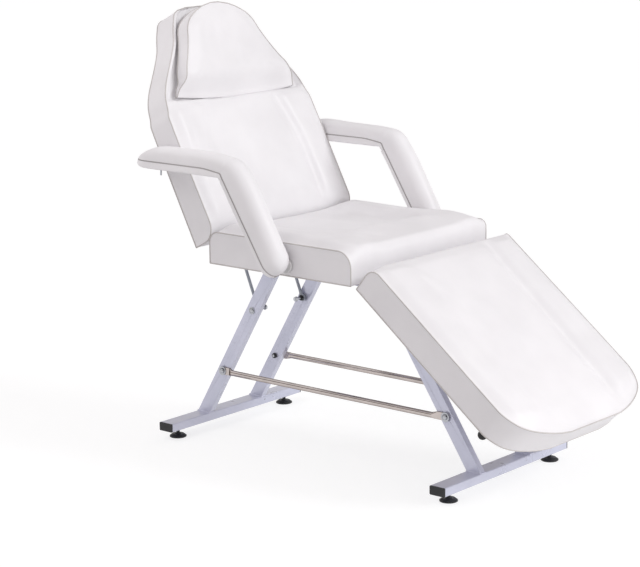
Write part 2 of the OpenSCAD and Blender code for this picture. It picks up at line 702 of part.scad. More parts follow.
lug_tube_x = back_gap - strut_anchor_at - lug_lead;
upper_tube_x = back_gap - back_tube_from - back_tube_len + upper_tube_in;
module back_cross_tubes() {
    color([0.76, 0.76, 0.84]) on_back_board() for (x = [lug_tube_x, upper_tube_x])
        box_tube_y(x, -tube_s, 2 * back_tube_y - tube_s, tube_s, tube_s);
}
module back_hinge_plates() {
    reach = back_tube_from + plate_grip;
    color([0.62, 0.62, 0.64]) in_back() both_sides() side_plate(back_plate_y, ear_t) difference() {
        union() {
            circle(hinge_eye_r);
            polygon([[0, -hinge_eye_r], [-hinge_eye_r, 0], [-back_gap, back_under - soft_gap],
                     [-reach, back_under - soft_gap], [-reach, back_under - tube_s * 0.8],
                     [-back_gap, back_under - tube_s * 0.8]]);
        }
        circle(hinge_pin_d / 2 + run_gap);
    }
}

// Strut lugs: two eared plates a side, welded to the lower cross tube
lug_t = 5;
lug_r = 10;
lug_gap = 23;
strut_pin_d = 8;
module strut_lugs() {
    root_x = lug_tube_x - back_gap + tube_s / 2;
    color([0.62, 0.62, 0.64]) in_back() both_sides()
        for (y = [strut_y - lug_gap / 2 - lug_t, strut_y + lug_gap / 2])
            side_plate(y, lug_t) difference() {
                union() {
                    translate([-strut_anchor_at, strut_anchor_z]) circle(lug_r);
                    translate([root_x, strut_anchor_z - lug_r])
                        square([-strut_anchor_at - root_x, lug_r * 2]);
                }
                translate([-strut_anchor_at, strut_anchor_z]) circle(strut_pin_d / 2 + run_gap);
            }
}
module strut_pins() {
    pin_y = strut_y - lug_gap / 2 - lug_t;
    color([0.70, 0.70, 0.72]) in_back() both_sides()
        hinge_pin(-strut_anchor_at, strut_anchor_z, pin_y, lug_gap + 2 * lug_t, strut_pin_d);
}

// Where an arm's guide pin runs, seen from the back's own frame, while back and arm turn together
guide_steps = 14;
guide_plate_t = 4;
guide_plate_in = 90;
guide_plate_y = half_w - guide_plate_in;
guide_gap = 0.6;
guide_edge = 8;
function guide_point(turned) = let (
    pivot = [arm_pivot_x, arm_pivot_z],
    pin = pivot + turn([guide_pin_x, guide_pin_z] - pivot, arm_turn_share * turned))
    turn(pin - [back_hinge_x, back_hinge_z], back_raise - turned);
guide_path = [for (i = [0:guide_steps]) guide_point(back_raise * i / guide_steps)];
function guide_normal(i) = let (
    a = guide_path[max(0, i - 1)], b = guide_path[min(guide_steps, i + 1)], d = b - a)
    [-d.y, d.x] / norm(d);
module guide_slot_2d() {
    half = guide_pin_d / 2 + guide_gap;
    polygon(concat([for (i = [0:guide_steps]) guide_path[i] + guide_normal(i) * half],
                   [for (i = [guide_steps:-1:0]) guide_path[i] - guide_normal(i) * half]));
    for (end = [guide_path[0], guide_path[guide_steps]]) translate(end) circle(half);
}
module arm_guide_plates() {
    xs = [for (p = guide_path) p.x];
    zs = [for (p = guide_path) p.y];
    x0 = min(xs) - guide_pin_d / 2 - guide_edge;
    x1 = max(xs) + guide_pin_d / 2 + guide_edge;
    z0 = min(zs) - guide_pin_d / 2 - guide_edge;
    flange = 5 * guide_plate_t;
    top0 = back_low_z(-x0 - back_gap) - soft_gap;
    top1 = back_low_z(-x1 - back_gap) - soft_gap;
    color([0.62, 0.62, 0.64]) in_back() both_sides() {
        side_plate(guide_plate_y, guide_plate_t) difference() {
            polygon([[x0, top0], [x1, top1], [x1, z0 + 2 * guide_edge], [x1 - 2 * guide_edge, z0],
                     [x0 + 2 * guide_edge, z0], [x0, z0 + 2 * guide_edge]]);
            guide_slot_2d();
        }
        side_plate(guide_plate_y - flange, flange)
            polygon([[x0, top0], [x1, top1], [x1, top1 - guide_plate_t], [x0, top0 - guide_plate_t]]);
    }
}

// Headrest: two flush hinges on posts through the back cushion, a board and its cushion
head_hinge_y = 70;
head_leaf_l = 41;
head_leaf_w = 40;
head_leaf_t = 2;
head_barrel_r = 3;
head_pin_r = 1.5;
head_knuckle_w = 13.6;
post_x = -22;
post_d = 6;
base_leaf_drop = 5.5;
head_from = 4;
head_board_t = 6;
head_board_from = 26;
head_top_r = 14;
head_crown = 8;
module head_place() {
    translate([-head_hinge_at, head_hinge_y, back_hinge_drop - head_sink]) children();
}
module head_base_pocket() {
    head_place() {
        translate([-head_leaf_l - soft_gap, -head_leaf_w / 2 - soft_gap, -base_leaf_drop - soft_gap])
            cube([head_leaf_l + head_barrel_r + 2 * soft_gap, head_leaf_w + 2 * soft_gap, head_thick]);
        translate([post_x, 0, -back_hinge_drop])
            cylinder(back_hinge_drop, r = post_d / 2 + soft_gap);
    }
}
module head_knuckle(y_from, y_to) {
    translate([0, y_to, 0]) rotate([90, 0, 0]) cylinder(y_to - y_from, r = head_barrel_r);
}
module headrest_hinge_base() {
    knuckle = (head_leaf_w - head_knuckle_w) / 2 - pin_gap;
    post_len = back_hinge_drop - head_sink - base_leaf_drop - back_low_z(head_hinge_at - back_gap);
    color([0.70, 0.70, 0.72]) in_back() both_sides() head_place() {
        translate([-head_leaf_l, -head_leaf_w / 2, -base_leaf_drop])
            cube([head_leaf_l + head_barrel_r, head_leaf_w, head_leaf_t]);
        for (side = [-1, 1]) on_side(side) {
            head_knuckle(head_leaf_w / 2 - knuckle, head_leaf_w / 2);
            translate([-head_barrel_r, head_leaf_w / 2 - knuckle, -base_leaf_drop])
                cube([2 * head_barrel_r, knuckle, base_leaf_drop]);
        }
        translate([0, head_leaf_w / 2, 0]) rotate([90, 0, 0]) cylinder(head_leaf_w, r = head_pin_r);
        translate([post_x, 0, -base_leaf_drop - post_len])
            cylinder(post_len + head_leaf_t / 2, d = post_d);
    }
}
module headrest_hinge_leaves() {
    leaf_from = head_barrel_r + 2 * pin_gap;
    color([0.70, 0.70, 0.72]) in_headrest() both_sides() translate([0, head_hinge_y, 0]) difference() {
        union() {
            head_knuckle(-head_knuckle_w / 2, head_knuckle_w / 2);
            translate([-leaf_from, -head_knuckle_w / 2, -head_leaf_t])
                cube([leaf_from, head_knuckle_w, head_leaf_t]);
            translate([-head_leaf_l, -head_leaf_w / 2, -head_leaf_t])
                cube([head_leaf_l - leaf_from - slide_gap, head_leaf_w, head_leaf_t]);
            translate([-leaf_from - slide_gap - over, -head_knuckle_w / 2, -head_leaf_t])
                cube([slide_gap + over, head_knuckle_w, head_leaf_t]);
        }
        translate([0, head_leaf_w, 0]) rotate([90, 0, 0])
            cylinder(2 * head_leaf_w, r = head_pin_r + run_gap);
    }
}
head_width_shares = [[0, 1], [0.11, 0.969], [0.219, 0.88], [0.328, 0.787], [0.474, 0.686],
                     [0.639, 0.593], [0.785, 0.535], [0.84, 0.49], [0.894, 0.388],
                     [0.964, 0.233], [0.99, 0.128], [1, 0.06]];
head_crown_shares = [[0, 1], [1, 0.85], [1.4, 0.65], [1.9, 0.18], [2, 0]];
head_length_shares = [0.02, 0.05, 0.084, 0.0855, 0.14, 0.219, 0.328, 0.474, 0.639, 0.785, 0.84,
                      0.894, 0.93];
function head_half(s) = head_w / 2 * lookup(s / head_len, head_width_shares);
function head_front(s) = s >= head_swell ? head_thick
    : head_thick * sqrt(1 - pow(1 - s / head_swell, 2));
head_stations = concat([head_from],
    [for (s = head_length_shares) head_from + s * (head_len - head_from)],
    [for (i = [len(edge_angles) - 1:-1:0]) head_len - head_top_r * (1 - cos(edge_angles[i]))]);
module headrest_cushion() {
    color([0.93, 0.92, 0.93]) in_headrest() loft([for (s = head_stations)
        let (low = s < head_board_from ? soft_gap : head_board_t + pin_gap)
        pad_ring(-s, -s, head_half(s), low,
                 head_front(s) - round_drop(head_len - s, head_top_r), seat_channel_share,
                 head_crown_shares,
                 head_crown * lookup(s / head_len, [[0, 0], [0.2, 0.6], [0.4, 1], [0.85, 1], [1, 0]]))]);
}
module headrest_board() {
    rim = [for (s = head_width_shares) if (s[0] * head_len > head_board_from && s[0] < 0.98)
        [-s[0] * head_len, head_w / 2 * s[1] - board_inset]];
    near = [-head_board_from - board_inset, head_half(head_board_from) - board_inset];
    color([0.80, 0.68, 0.50]) in_headrest() linear_extrude(head_board_t)
        polygon(concat([near], rim, [for (i = [len(rim) - 1:-1:0]) [rim[i].x, -rim[i].y]],
                       [[near.x, -near.y]]));
}

// Leg rest, drawn level along +X from its hinge and then lowered
leg_width_shares = [[0, 1], [0.814, 1], [0.872, 0.944], [0.915, 0.895], [0.935, 0.815],
                    [0.965, 0.68], [0.985, 0.56], [1, 0.41]];
leg_length_shares = [0.1, 0.17, 0.26, 0.36, 0.47, 0.58, 0.68, 0.76, 0.814, 0.845, 0.872, 0.895,
                     0.915, 0.935, 0.955];
leg_channel_share = 0.607;
leg_low_short = 17;
leg_lean_share = 0.8;
leg_stations = concat(
    [for (a = edge_angles) leg_near_r * (1 - cos(a))],
    [for (s = leg_length_shares) s * leg_pad_len],
    [for (i = [len(edge_angles) - 1:-1:0]) leg_pad_len - leg_far_r * (1 - cos(edge_angles[i]))]);
function leg_rise(x) = bolster_rise * lookup(x / leg_pad_len, [[0, 0], [0.05, 0.3], [0.12, 1],
                                                               [0.8, 1], [0.93, 0.5], [1, 0]]);
function leg_lean(x) =
    leg_low_short * pow(max(0, x / leg_pad_len - leg_lean_share) / (1 - leg_lean_share), 2);
module leg_cushion() {
    color([0.93, 0.92, 0.93]) in_leg_rest() loft([for (i = [len(leg_stations) - 1:-1:0])
        let (x = leg_stations[i])
        pad_ring(leg_gap + x, leg_gap + x - leg_lean(x), half_w * lookup(x / leg_pad_len, leg_width_shares),
                 leg_under + board_t,
                 leg_hinge_drop - round_drop(x, leg_near_r) - round_drop(leg_pad_len - x, leg_far_r),
                 leg_channel_share, panel_crown_shares, leg_rise(x))]);
}
module leg_board() {
    span = leg_pad_len - leg_low_short - 2 * board_inset;
    side = [for (s = leg_width_shares) [leg_gap + board_inset + s[0] * span, half_w * s[1] - board_inset]];
    color([0.80, 0.68, 0.50]) in_leg_rest() translate([0, 0, leg_under])
        linear_extrude(board_t - soft_gap)
            polygon(concat(side, [for (i = [len(side) - 1:-1:0]) [side[i].x, -side[i].y]]));
}
leg_tube_from = 60;
leg_tube_short = 174;
leg_tube_len = leg_pad_len - leg_tube_short;
leg_cross_at = leg_tube_from + leg_tube_len - plate_grip;
module leg_side_tubes() {
    color([0.76, 0.76, 0.84]) in_leg_rest() both_sides()
        box_tube_x(leg_tube_from, leg_tube_y, leg_under - leg_tube_s, leg_tube_len, leg_tube_s, leg_tube_s);
}
module leg_cross_tube() {
    color([0.76, 0.76, 0.84]) in_leg_rest()
        box_tube_y(leg_cross_at, leg_under - leg_tube_s, 2 * leg_tube_y - leg_tube_s, leg_tube_s, leg_tube_s);
}
module leg_hinge_plates() {
    reach = leg_tube_from + plate_grip;
    color([0.62, 0.62, 0.64]) in_leg_rest() both_sides() side_plate(leg_plate_y, ear_t) difference() {
        union() {
            circle(leg_eye_r);
            polygon([[0, -leg_eye_r], [leg_gap, leg_under - leg_tube_s * 0.9],
                     [reach, leg_under - leg_tube_s * 0.9], [reach, leg_under - soft_gap],
                     [leg_gap / 2, leg_under - soft_gap], [0, leg_eye_r]]);
        }
        circle(leg_pin_d / 2 + run_gap);
    }
}
bumper_d = 26;
bumper_h = 30;
bumper_from_foot = 128;
bumper_at = leg_pad_len - bumper_from_foot;
bumper_in = 22;
module leg_bumpers() {
    color([0.13, 0.13, 0.14]) in_leg_rest() both_sides()
        translate([leg_gap + bumper_at, half_w - bumper_in, leg_under - bumper_h + bumper_d / 2]) {
            cylinder(bumper_h - bumper_d / 2, d = bumper_d);
            sphere(d = bumper_d);
        }
}

// Arms: a bent board under a half-round pad, drawn for the left side
arm_tangent = arm_bend_r * tan(arm_slope / 2);
arm_arc_x = arm_corner_x - arm_tangent;
arm_arc_z = arm_under_z - arm_bend_r;
arm_half = arm_w / 2;
arm_outer_r = arm_bend_r + arm_board_t;
arm_post_run = arm_post_len - arm_tangent;
module in_post() {
    translate([arm_arc_x + arm_bend_r * sin(arm_slope), arm_mid_y, arm_arc_z + arm_bend_r * cos(arm_slope)])
        rotate([0, arm_slope, 0]) children();
}
strap_t = 4;
strap_w = 16;
tail_from_pin = 66;
tail_x = guide_pin_x + tail_from_pin;
tail_d = 5;
tail_drop = 23;
module arm_guide_shape(grow) {
    block_w = guide_pin_d + strap_t;
    translate([guide_pin_x - block_w / 2 - grow, arm_mid_y - strap_w / 2 - grow, arm_under_z - grow])
        cube([block_w + 2 * grow, strap_w + 2 * grow, guide_pin_z - arm_under_z + grow]);
    translate([guide_pin_x, arm_mid_y - strap_w / 2 - grow, arm_under_z - grow])
        cube([tail_x + strap_w / 2 + grow - guide_pin_x, strap_w + 2 * grow, strap_t + 2 * grow]);
    cross_pin(guide_pin_x, guide_pin_z, guide_plate_y - guide_plate_t,
              arm_mid_y + arm_half / 2 - guide_plate_y + guide_plate_t + grow, guide_pin_d + 2 * grow);
    translate([tail_x, arm_mid_y, arm_under_z - tail_drop])
        cylinder(tail_drop + arm_board_t / 2 + grow, d = tail_d + 2 * grow);
}
bend_steps = 6;
function bend_points(r, from, to) = [for (i = [0:bend_steps])
    let (a = from + (to - from) * i / bend_steps) [arm_arc_x, arm_arc_z] + r * [sin(a), cos(a)]];
module arm_side_2d() {
    down = [cos(arm_slope), -sin(arm_slope)] * arm_post_run;
    inner = bend_points(arm_bend_r, arm_slope, 0);
    outer = bend_points(arm_outer_r, 0, arm_slope);
    polygon(concat([[arm_tip_x, arm_under_z], [arm_tip_x, arm_top_z]], outer,
                   [outer[bend_steps] + down, inner[0] + down], inner));
}
tip_ease = 0.3;
module round_off_tip() {
    tip_r = arm_half + tip_ease;
    translate([0, 0, -arm_bend_r]) linear_extrude(2 * arm_bend_r + arm_board_t) difference() {
        translate([-over, -arm_half - over]) square([tip_r + over, arm_w + 2 * over]);
        translate([tip_r, 0]) circle(tip_r);
    }
}
module arm_board() {
    color([0.80, 0.68, 0.50]) difference() {
        side_plate(arm_in_y, arm_w) arm_side_2d();
        translate([arm_tip_x, arm_mid_y, arm_under_z]) round_off_tip();
        in_post() translate([arm_post_run, 0, 0]) mirror([1, 0, 0]) round_off_tip();
        cross_pin(arm_pivot_x, arm_pivot_z, arm_in_y - over, arm_w + 2 * over, arm_bush_d);
        arm_guide_shape(pin_gap);
    }
}
arm_bush_len = arm_bolt_end_y - arm_in_y - soft_gap;
module arm_bush() {
    color([0.86, 0.86, 0.86]) difference() {
        cross_pin(arm_pivot_x, arm_pivot_z, arm_in_y, arm_bush_len, arm_bush_d);
        cross_pin(arm_pivot_x, arm_pivot_z, arm_in_y - over, arm_w, arm_bolt_d + 2 * run_gap);
    }
}
module arm_guide_pin() { color([0.70, 0.70, 0.72]) arm_guide_shape(0); }

// Ring of the arm's pad at a point of its path, narrow and low near a tip
arm_ring_angles = [for (a = [0:15:180]) a];
arm_bulge_share = 0.85;
function ease_in(share) = sqrt(max(0, 1 - pow(1 - min(1, share), 2)));
function arm_ring(p, n, from_tip) = let (
    round_in = ease_in(from_tip / arm_half), high = arm_crown * ease_in(from_tip / arm_swell))
    concat([[p.x, arm_mid_y, p.y]], [for (a = arm_ring_angles)
        let (h = high * pow(sin(a), arm_bulge_share))
        [p.x + n.x * h, arm_mid_y + arm_half * round_in * cos(a), p.y + n.y * h]]);
tip_angles = [14, 32, 52, 72, 90];
module arm_pad() {
    tips = [for (a = tip_angles) arm_half * (1 - cos(a))];
    flat_run = arm_arc_x - arm_tip_x;
    post_from = [arm_arc_x, arm_arc_z] + arm_outer_r * [sin(arm_slope), cos(arm_slope)];
    down = [cos(arm_slope), -sin(arm_slope)];
    up = [sin(arm_slope), cos(arm_slope)];
    color([0.93, 0.92, 0.93]) loft(concat(
        [for (d = concat(tips, [arm_swell, flat_run / 2, flat_run * 3 / 4]))
            arm_ring([arm_tip_x + d, arm_top_z], [0, 1], d)],
        [for (a = [0:arm_slope / bend_steps:arm_slope]) let (n = [sin(a), cos(a)])
            arm_ring([arm_arc_x, arm_arc_z] + arm_outer_r * n, n, arm_swell)],
        [for (d = [arm_post_run * 2 / 3, arm_post_run / 3, arm_swell])
            arm_ring(post_from + down * (arm_post_run - d), up, d)],
        [for (i = [len(tips) - 1:-1:0])
            arm_ring(post_from + down * (arm_post_run - tips[i]), up, tips[i])]));
}
module left_arm_board() { arm_board(); }
module right_arm_board() { mirror([0, 1, 0]) arm_board(); }
module left_arm_pad() { arm_pad(); }
module right_arm_pad() { mirror([0, 1, 0]) arm_pad(); }
module left_arm_bush() { arm_bush(); }
module right_arm_bush() { mirror([0, 1, 0]) arm_bush(); }
module left_arm_guide_pin() { arm_guide_pin(); }
module right_arm_guide_pin() { mirror([0, 1, 0]) arm_guide_pin(); }

// Struts: a rod on the rear leg that slides in a tube on the back
strut_anchor = [back_hinge_x, back_hinge_z] + turn([-strut_anchor_at, strut_anchor_z], -back_raise);
strut_run = strut_anchor - [strut_x, strut_z];
strut_angle = atan2(strut_run.y, strut_run.x);
spade_r = 11;
spade_l = 20;
strut_eye_w = 14;
strut_floor = 18;
mouth_ring = 4;
module strut_rod() {
    color([0.80, 0.79, 0.80]) translate([strut_x, strut_y, strut_z]) rotate([0, -strut_angle, 0])
        difference() {
            union() {
                side_plate(-spade_t / 2, spade_t) {
                    circle(spade_r);
                    translate([0, -strut_rod_d / 2]) square([spade_l, strut_rod_d]);
                }
                translate([spade_r, 0, 0]) rotate([0, 90, 0])
                    cylinder(strut_rod_len - spade_r, d = strut_rod_d);
            }
            cross_pin(0, 0, -spade_t, 2 * spade_t, bolt_d + 2 * run_gap);
        }
}
module strut_tube() {
    color([0.16, 0.16, 0.17]) translate([strut_anchor.x, strut_y, strut_anchor.y])
        rotate([0, 180 - strut_angle, 0]) difference() {
            union() {
                side_plate(-strut_eye_w / 2, strut_eye_w) {
                    circle(strut_tube_d / 2);
                    translate([0, -strut_tube_d / 2]) square([strut_floor, strut_tube_d]);
                }
                translate([strut_floor - mouth_ring, 0, 0]) rotate([0, 90, 0])
                    cylinder(strut_tube_len - strut_floor + mouth_ring, d = strut_tube_d);
            }
            cross_pin(0, 0, -strut_eye_w, 2 * strut_eye_w, strut_pin_d + 2 * run_gap);
            translate([strut_floor, 0, 0]) rotate([0, 90, 0])
                cylinder(strut_tube_len, r = strut_rod_d / 2 + slide_gap);
        }
}
module left_strut_rod() { strut_rod(); }
module right_strut_rod() { mirror([0, 1, 0]) strut_rod(); }
module left_strut_tube() { strut_tube(); }
module right_strut_tube() { mirror([0, 1, 0]) strut_tube(); }

// Levelling feet: a disc with a sloped top on a stem that screws into its rail
foot_rim_share = 0.4;
foot_hub_share = 0.36;
stem_top_z = rail_z + boss_h;
module levelling_foot(x, side) {
    color([0.13, 0.13, 0.14]) translate([x, side * foot_y, 0]) {
        rotate_extrude() polygon([[0, 0], [foot_d / 2 - over, 0], [foot_d / 2, over],
                                  [foot_d / 2, foot_h * foot_rim_share], [foot_d * foot_hub_share, foot_h],
                                  [stem_d, foot_h], [stem_d * 0.8, foot_h * 1.3], [0, foot_h * 1.3]]);
        translate([0, 0, foot_h]) cylinder(stem_top_z - foot_h, d = stem_d);
    }
}
module rear_left_foot() { levelling_foot(rear_rail_x, 1); }
module rear_right_foot() { levelling_foot(rear_rail_x, -1); }
module front_left_foot() { levelling_foot(front_rail_x, 1); }
module front_right_foot() { levelling_foot(front_rail_x, -1); }

rear_rail();
front_rail();
rail_end_caps();
left_rear_leg();
right_rear_leg();
left_front_leg();
right_front_leg();
left_foot_rod();
right_foot_rod();
leg_bolts();
rod_washers();
leg_nuts();
strut_spacers();
seat_cross_tubes();
seat_side_tubes();
seat_board();
seat_cushion();
arm_brackets();
arm_bolts();
arm_nuts();
arm_spacers();
back_hinge_ears();
back_hinge_pins();
leg_hinge_ears();
leg_hinge_pins();
back_side_tubes();
back_cross_tubes();
back_board();
back_cushion();
back_hinge_plates();
arm_guide_plates();
strut_lugs();
strut_pins();
headrest_hinge_base();
headrest_board();
headrest_cushion();
headrest_hinge_leaves();
leg_board();
leg_cushion();
leg_side_tubes();
leg_cross_tube();
leg_hinge_plates();
leg_bumpers();
left_arm_board();
left_arm_pad();
left_arm_bush();
left_arm_guide_pin();
right_arm_board();
right_arm_pad();
right_arm_bush();
right_arm_guide_pin();
left_strut_rod();
left_strut_tube();
right_strut_rod();
right_strut_tube();
rear_left_foot();
rear_right_foot();
front_left_foot();
front_right_foot();
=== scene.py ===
"""Looks of the reclining treatment chair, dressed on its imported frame. Metres, +Z up."""
import json
import math

import bmesh
import bpy
import numpy as np
from mathutils import Matrix, Vector, noise


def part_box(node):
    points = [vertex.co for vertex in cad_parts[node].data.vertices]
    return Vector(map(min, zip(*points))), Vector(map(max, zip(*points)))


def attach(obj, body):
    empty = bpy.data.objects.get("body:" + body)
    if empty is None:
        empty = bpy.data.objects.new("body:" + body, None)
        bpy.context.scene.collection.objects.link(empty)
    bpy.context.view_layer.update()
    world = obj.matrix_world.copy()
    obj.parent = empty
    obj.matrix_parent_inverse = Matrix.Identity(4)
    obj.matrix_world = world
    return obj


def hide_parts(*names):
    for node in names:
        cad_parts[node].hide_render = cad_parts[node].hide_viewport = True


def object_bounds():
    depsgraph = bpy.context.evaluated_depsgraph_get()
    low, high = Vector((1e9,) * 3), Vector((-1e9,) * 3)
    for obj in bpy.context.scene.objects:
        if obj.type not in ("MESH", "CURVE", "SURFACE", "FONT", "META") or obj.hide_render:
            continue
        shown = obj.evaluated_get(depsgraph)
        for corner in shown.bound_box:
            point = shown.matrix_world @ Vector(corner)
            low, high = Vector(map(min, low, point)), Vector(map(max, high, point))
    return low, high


MM = 0.001
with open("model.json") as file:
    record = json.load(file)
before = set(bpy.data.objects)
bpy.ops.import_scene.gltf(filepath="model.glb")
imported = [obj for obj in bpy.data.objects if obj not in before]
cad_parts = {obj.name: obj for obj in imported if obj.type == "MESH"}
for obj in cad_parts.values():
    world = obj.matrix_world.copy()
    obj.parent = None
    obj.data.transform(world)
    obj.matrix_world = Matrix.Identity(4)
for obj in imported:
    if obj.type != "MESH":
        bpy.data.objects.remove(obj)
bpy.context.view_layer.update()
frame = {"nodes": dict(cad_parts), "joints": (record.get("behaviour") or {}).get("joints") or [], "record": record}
joints = {joint["name"]: joint for joint in frame["joints"]}
nodes = frame["nodes"]


# Spaces of the moving parts: each lies flat along X from its own hinge
def hinge_point(name):
    return Vector(joints[name]["pos_m"])


def upper_limit(name):
    return math.radians(joints[name]["range_deg"][1])


HEAD_TILT = math.radians(4.5)
BACK_RAISE = upper_limit("back_recline")
LEG_DROP = upper_limit("leg_rest_tilt")
SIDES = ((-1, "right"), (1, "left"))


def space(origin, turn):
    return Matrix.Translation(origin) @ Matrix.Rotation(turn, 4, "Y")


back_space = space(hinge_point("back_recline"), BACK_RAISE)
head_space = space(hinge_point("headrest_tilt"), BACK_RAISE + HEAD_TILT)
leg_space = space(hinge_point("leg_rest_tilt"), LEG_DROP)
seat_space = Matrix.Identity(4)


def local_box(node, where):
    """Lowest and highest corners of a CAD node seen in a space."""
    inverse = where.inverted()
    points = [inverse @ v.co for v in nodes[node].data.vertices]
    return [Vector([pick(p[i] for p in points) for i in range(3)]) for pick in (min, max)]


# Small helpers
def smooth(a, b, x):
    """Smooth step from 0 at a to 1 at b."""
    t = max(0.0, min(1.0, (x - a) / (b - a)))
    return t * t * (3 - 2 * t)


def ease_in(share):
    """Quarter circle: 0 at 0, 1 from 1 on."""
    return math.sqrt(max(0.0, 1 - (1 - min(1.0, share)) ** 2))


def rising(low, share):
    """From low at 0 to 1 at 1."""
    return low + (1 - low) * share


def table(x, pairs):
    """Value at x on a line through (place, value) pairs."""
    if x <= pairs[0][0]:
        return pairs[0][1]
    for (x0, v0), (x1, v1) in zip(pairs, pairs[1:]):
        if x <= x1:
            return v0 + (v1 - v0) * (x - x0) / (x1 - x0)
    return pairs[-1][1]


def spline(x, pairs):
    """Value at x on a smooth curve through (place, value) pairs."""
    if x <= pairs[0][0]:
        return pairs[0][1]
    last = len(pairs) - 1
    for i in range(last):
        (x0, v0), (x1, v1) = pairs[i], pairs[i + 1]
        if x <= x1:
            xa, va = pairs[max(i - 1, 0)]
            xb, vb = pairs[min(i + 2, last)]
            m0 = (v1 - va) / (x1 - xa) * (x1 - x0)
            m1 = (vb - v0) / (xb - x0) * (x1 - x0)
            t = (x - x0) / (x1 - x0)
            return ((2 * t ** 3 - 3 * t ** 2 + 1) * v0 + (t ** 3 - 2 * t ** 2 + t) * m0
                    + (-2 * t ** 3 + 3 * t ** 2) * v1 + (t ** 3 - t ** 2) * m1)
    return pairs[-1][1]


def new_object(name, verts, faces, where=seat_space):
    mesh = bpy.data.meshes.new(name)
    mesh.from_pydata([where @ Vector(v) for v in verts], [], faces)
    mesh.validate()
    obj = bpy.data.objects.new(name, mesh)
    bpy.context.scene.collection.objects.link(obj)
    return obj


PIECE_WELD = 0.02 * MM
TUBE_WELD = 0.001 * MM


def weld(obj, distance=PIECE_WELD):
    """Joins coincident points and turns the faces outwards."""
    bm = bmesh.new()
    bm.from_mesh(obj.data)
    bmesh.ops.remove_doubles(bm, verts=bm.verts, dist=distance)
    bmesh.ops.dissolve_degenerate(bm, dist=distance / 4, edges=bm.edges)
    bmesh.ops.recalc_face_normals(bm, faces=bm.faces)
    bm.to_mesh(obj.data)
    bm.free()
    obj.data.update()


def shade_smooth(obj, sharp_angle=40):
    for polygon in obj.data.polygons:
        polygon.use_smooth = True
    obj.data.set_sharp_from_angle(angle=math.radians(sharp_angle))


def dress(obj, body, material, replaces=()):
    """Gives a piece its material and slot, its body, and the CAD nodes that it stands for."""
    obj.data.materials.append(material)
    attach(obj, body)
    if replaces:
        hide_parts(*replaces)


def grid_faces(rows, columns, first=0, flip=False):
    """Quads of a grid of points, row after row, from point number first."""
    corners = [first + i * columns + j for i in range(rows - 1) for j in range(columns - 1)]
    quads = [(a, a + 1, a + columns + 1, a + columns) for a in corners]
    return [quad[::-1] for quad in quads] if flip else quads


def ring_faces(count, size, closed=False):
    """Quads from ring to ring of points, with a cap on each end of an open form."""
    faces = []
    for i in range(count if closed else count - 1):
        n = (i + 1) % count
        for j in range(size):
            k = (j + 1) % size
            faces.append((i * size + j, i * size + k, n * size + k, n * size + j))
    if not closed:
        faces += [tuple(range(size))[::-1], tuple((count - 1) * size + j for j in range(size))]
    return faces


def tube(name, path, radius, where=seat_space, closed=False, sides=8, ripple=None):
    """A tube swept along a path. ripple(i) scales the radius at point i."""
    points = [Vector(p) for p in path]
    count = len(points)
    verts = []
    normal = None
    for i, point in enumerate(points):
        before = points[(i - 1) % count] if closed or i else points[0]
        after = points[(i + 1) % count] if closed or i < count - 1 else points[-1]
        tangent = (after - before).normalized()
        if normal is None:
            side = Vector((0, 0, 1)) if abs(tangent.z) < 0.9 else Vector((1, 0, 0))
            normal = (side - tangent * side.dot(tangent)).normalized()
        else:
            normal = (normal - tangent * normal.dot(tangent)).normalized()
        binormal = tangent.cross(normal)
        size = radius * (ripple(i) if ripple else 1.0)
        for k in range(sides):
            a = 2 * math.pi * k / sides
            verts.append(point + (normal * math.cos(a) + binormal * math.sin(a)) * size)
    obj = new_object(name, verts, ring_faces(count, sides, closed), where)
    weld(obj, TUBE_WELD)
    for polygon in obj.data.polygons:
        polygon.use_smooth = True
    return obj


# Materials
def feed(node, **values):
    """Gives a node its settings and inputs: values, or other nodes' outputs. _ is a space."""
    for key, value in values.items():
        if hasattr(node, key):
            setattr(node, key, value)
            continue
        socket = node.inputs[key.replace("_", " ")]
        if isinstance(value, bpy.types.NodeSocket):
            node.id_data.links.new(value, socket)
        else:
            socket.default_value = value
    return node


def add(tree, kind, **values):
    return feed(tree.nodes.new(kind), **values)


def shader(name, **values):
    """A new material with values set on its Principled BSDF."""
    material = bpy.data.materials.new(name)
    material.use_nodes = True
    tree = material.node_tree
    return material, tree, feed(tree.nodes["Principled BSDF"], **values)


def texture(tree, coords, kind="ShaderNodeTexNoise", **values):
    """A texture or mapping node at the coordinates given."""
    return add(tree, kind, Vector=coords, **values)


def object_coords(tree):
    return add(tree, "ShaderNodeTexCoord").outputs["Object"]


def tinted(tree, principled, source, low, high, places=(0.35, 0.65)):
    """Base colour between two tints, as a source goes from one place to the other."""
    ramp = add(tree, "ShaderNodeValToRGB", Fac=source)
    for element, place, colour in zip(ramp.color_ramp.elements, places, (low, high)):
        element.position, element.color = place, (*colour, 1)
    feed(principled, Base_Color=ramp.outputs["Color"])


def drifting(name, low, high, scale, rough, **values):
    """A material whose colour and roughness drift slowly between two close values each."""
    material, tree, principled = shader(name, **values)
    coords = object_coords(tree)
    drift = texture(tree, coords, Scale=scale, Detail=3.0).outputs["Fac"]
    tinted(tree, principled, drift, low, high)
    spread = add(tree, "ShaderNodeMapRange", Value=drift, From_Min=0.3, From_Max=0.7,
                 To_Min=rough[0], To_Max=rough[1])
    feed(principled, Roughness=spread.outputs["Result"])
    return material, tree, principled, coords


def bumps(tree, principled, layers):
    """Stacks bump layers, each (height output, strength, distance)."""
    below = {}
    for height, strength, distance in layers:
        bump = add(tree, "ShaderNodeBump", Height=height, Strength=strength, Distance=distance, **below)
        below = {"Normal": bump.outputs["Normal"]}
    feed(principled, **below)


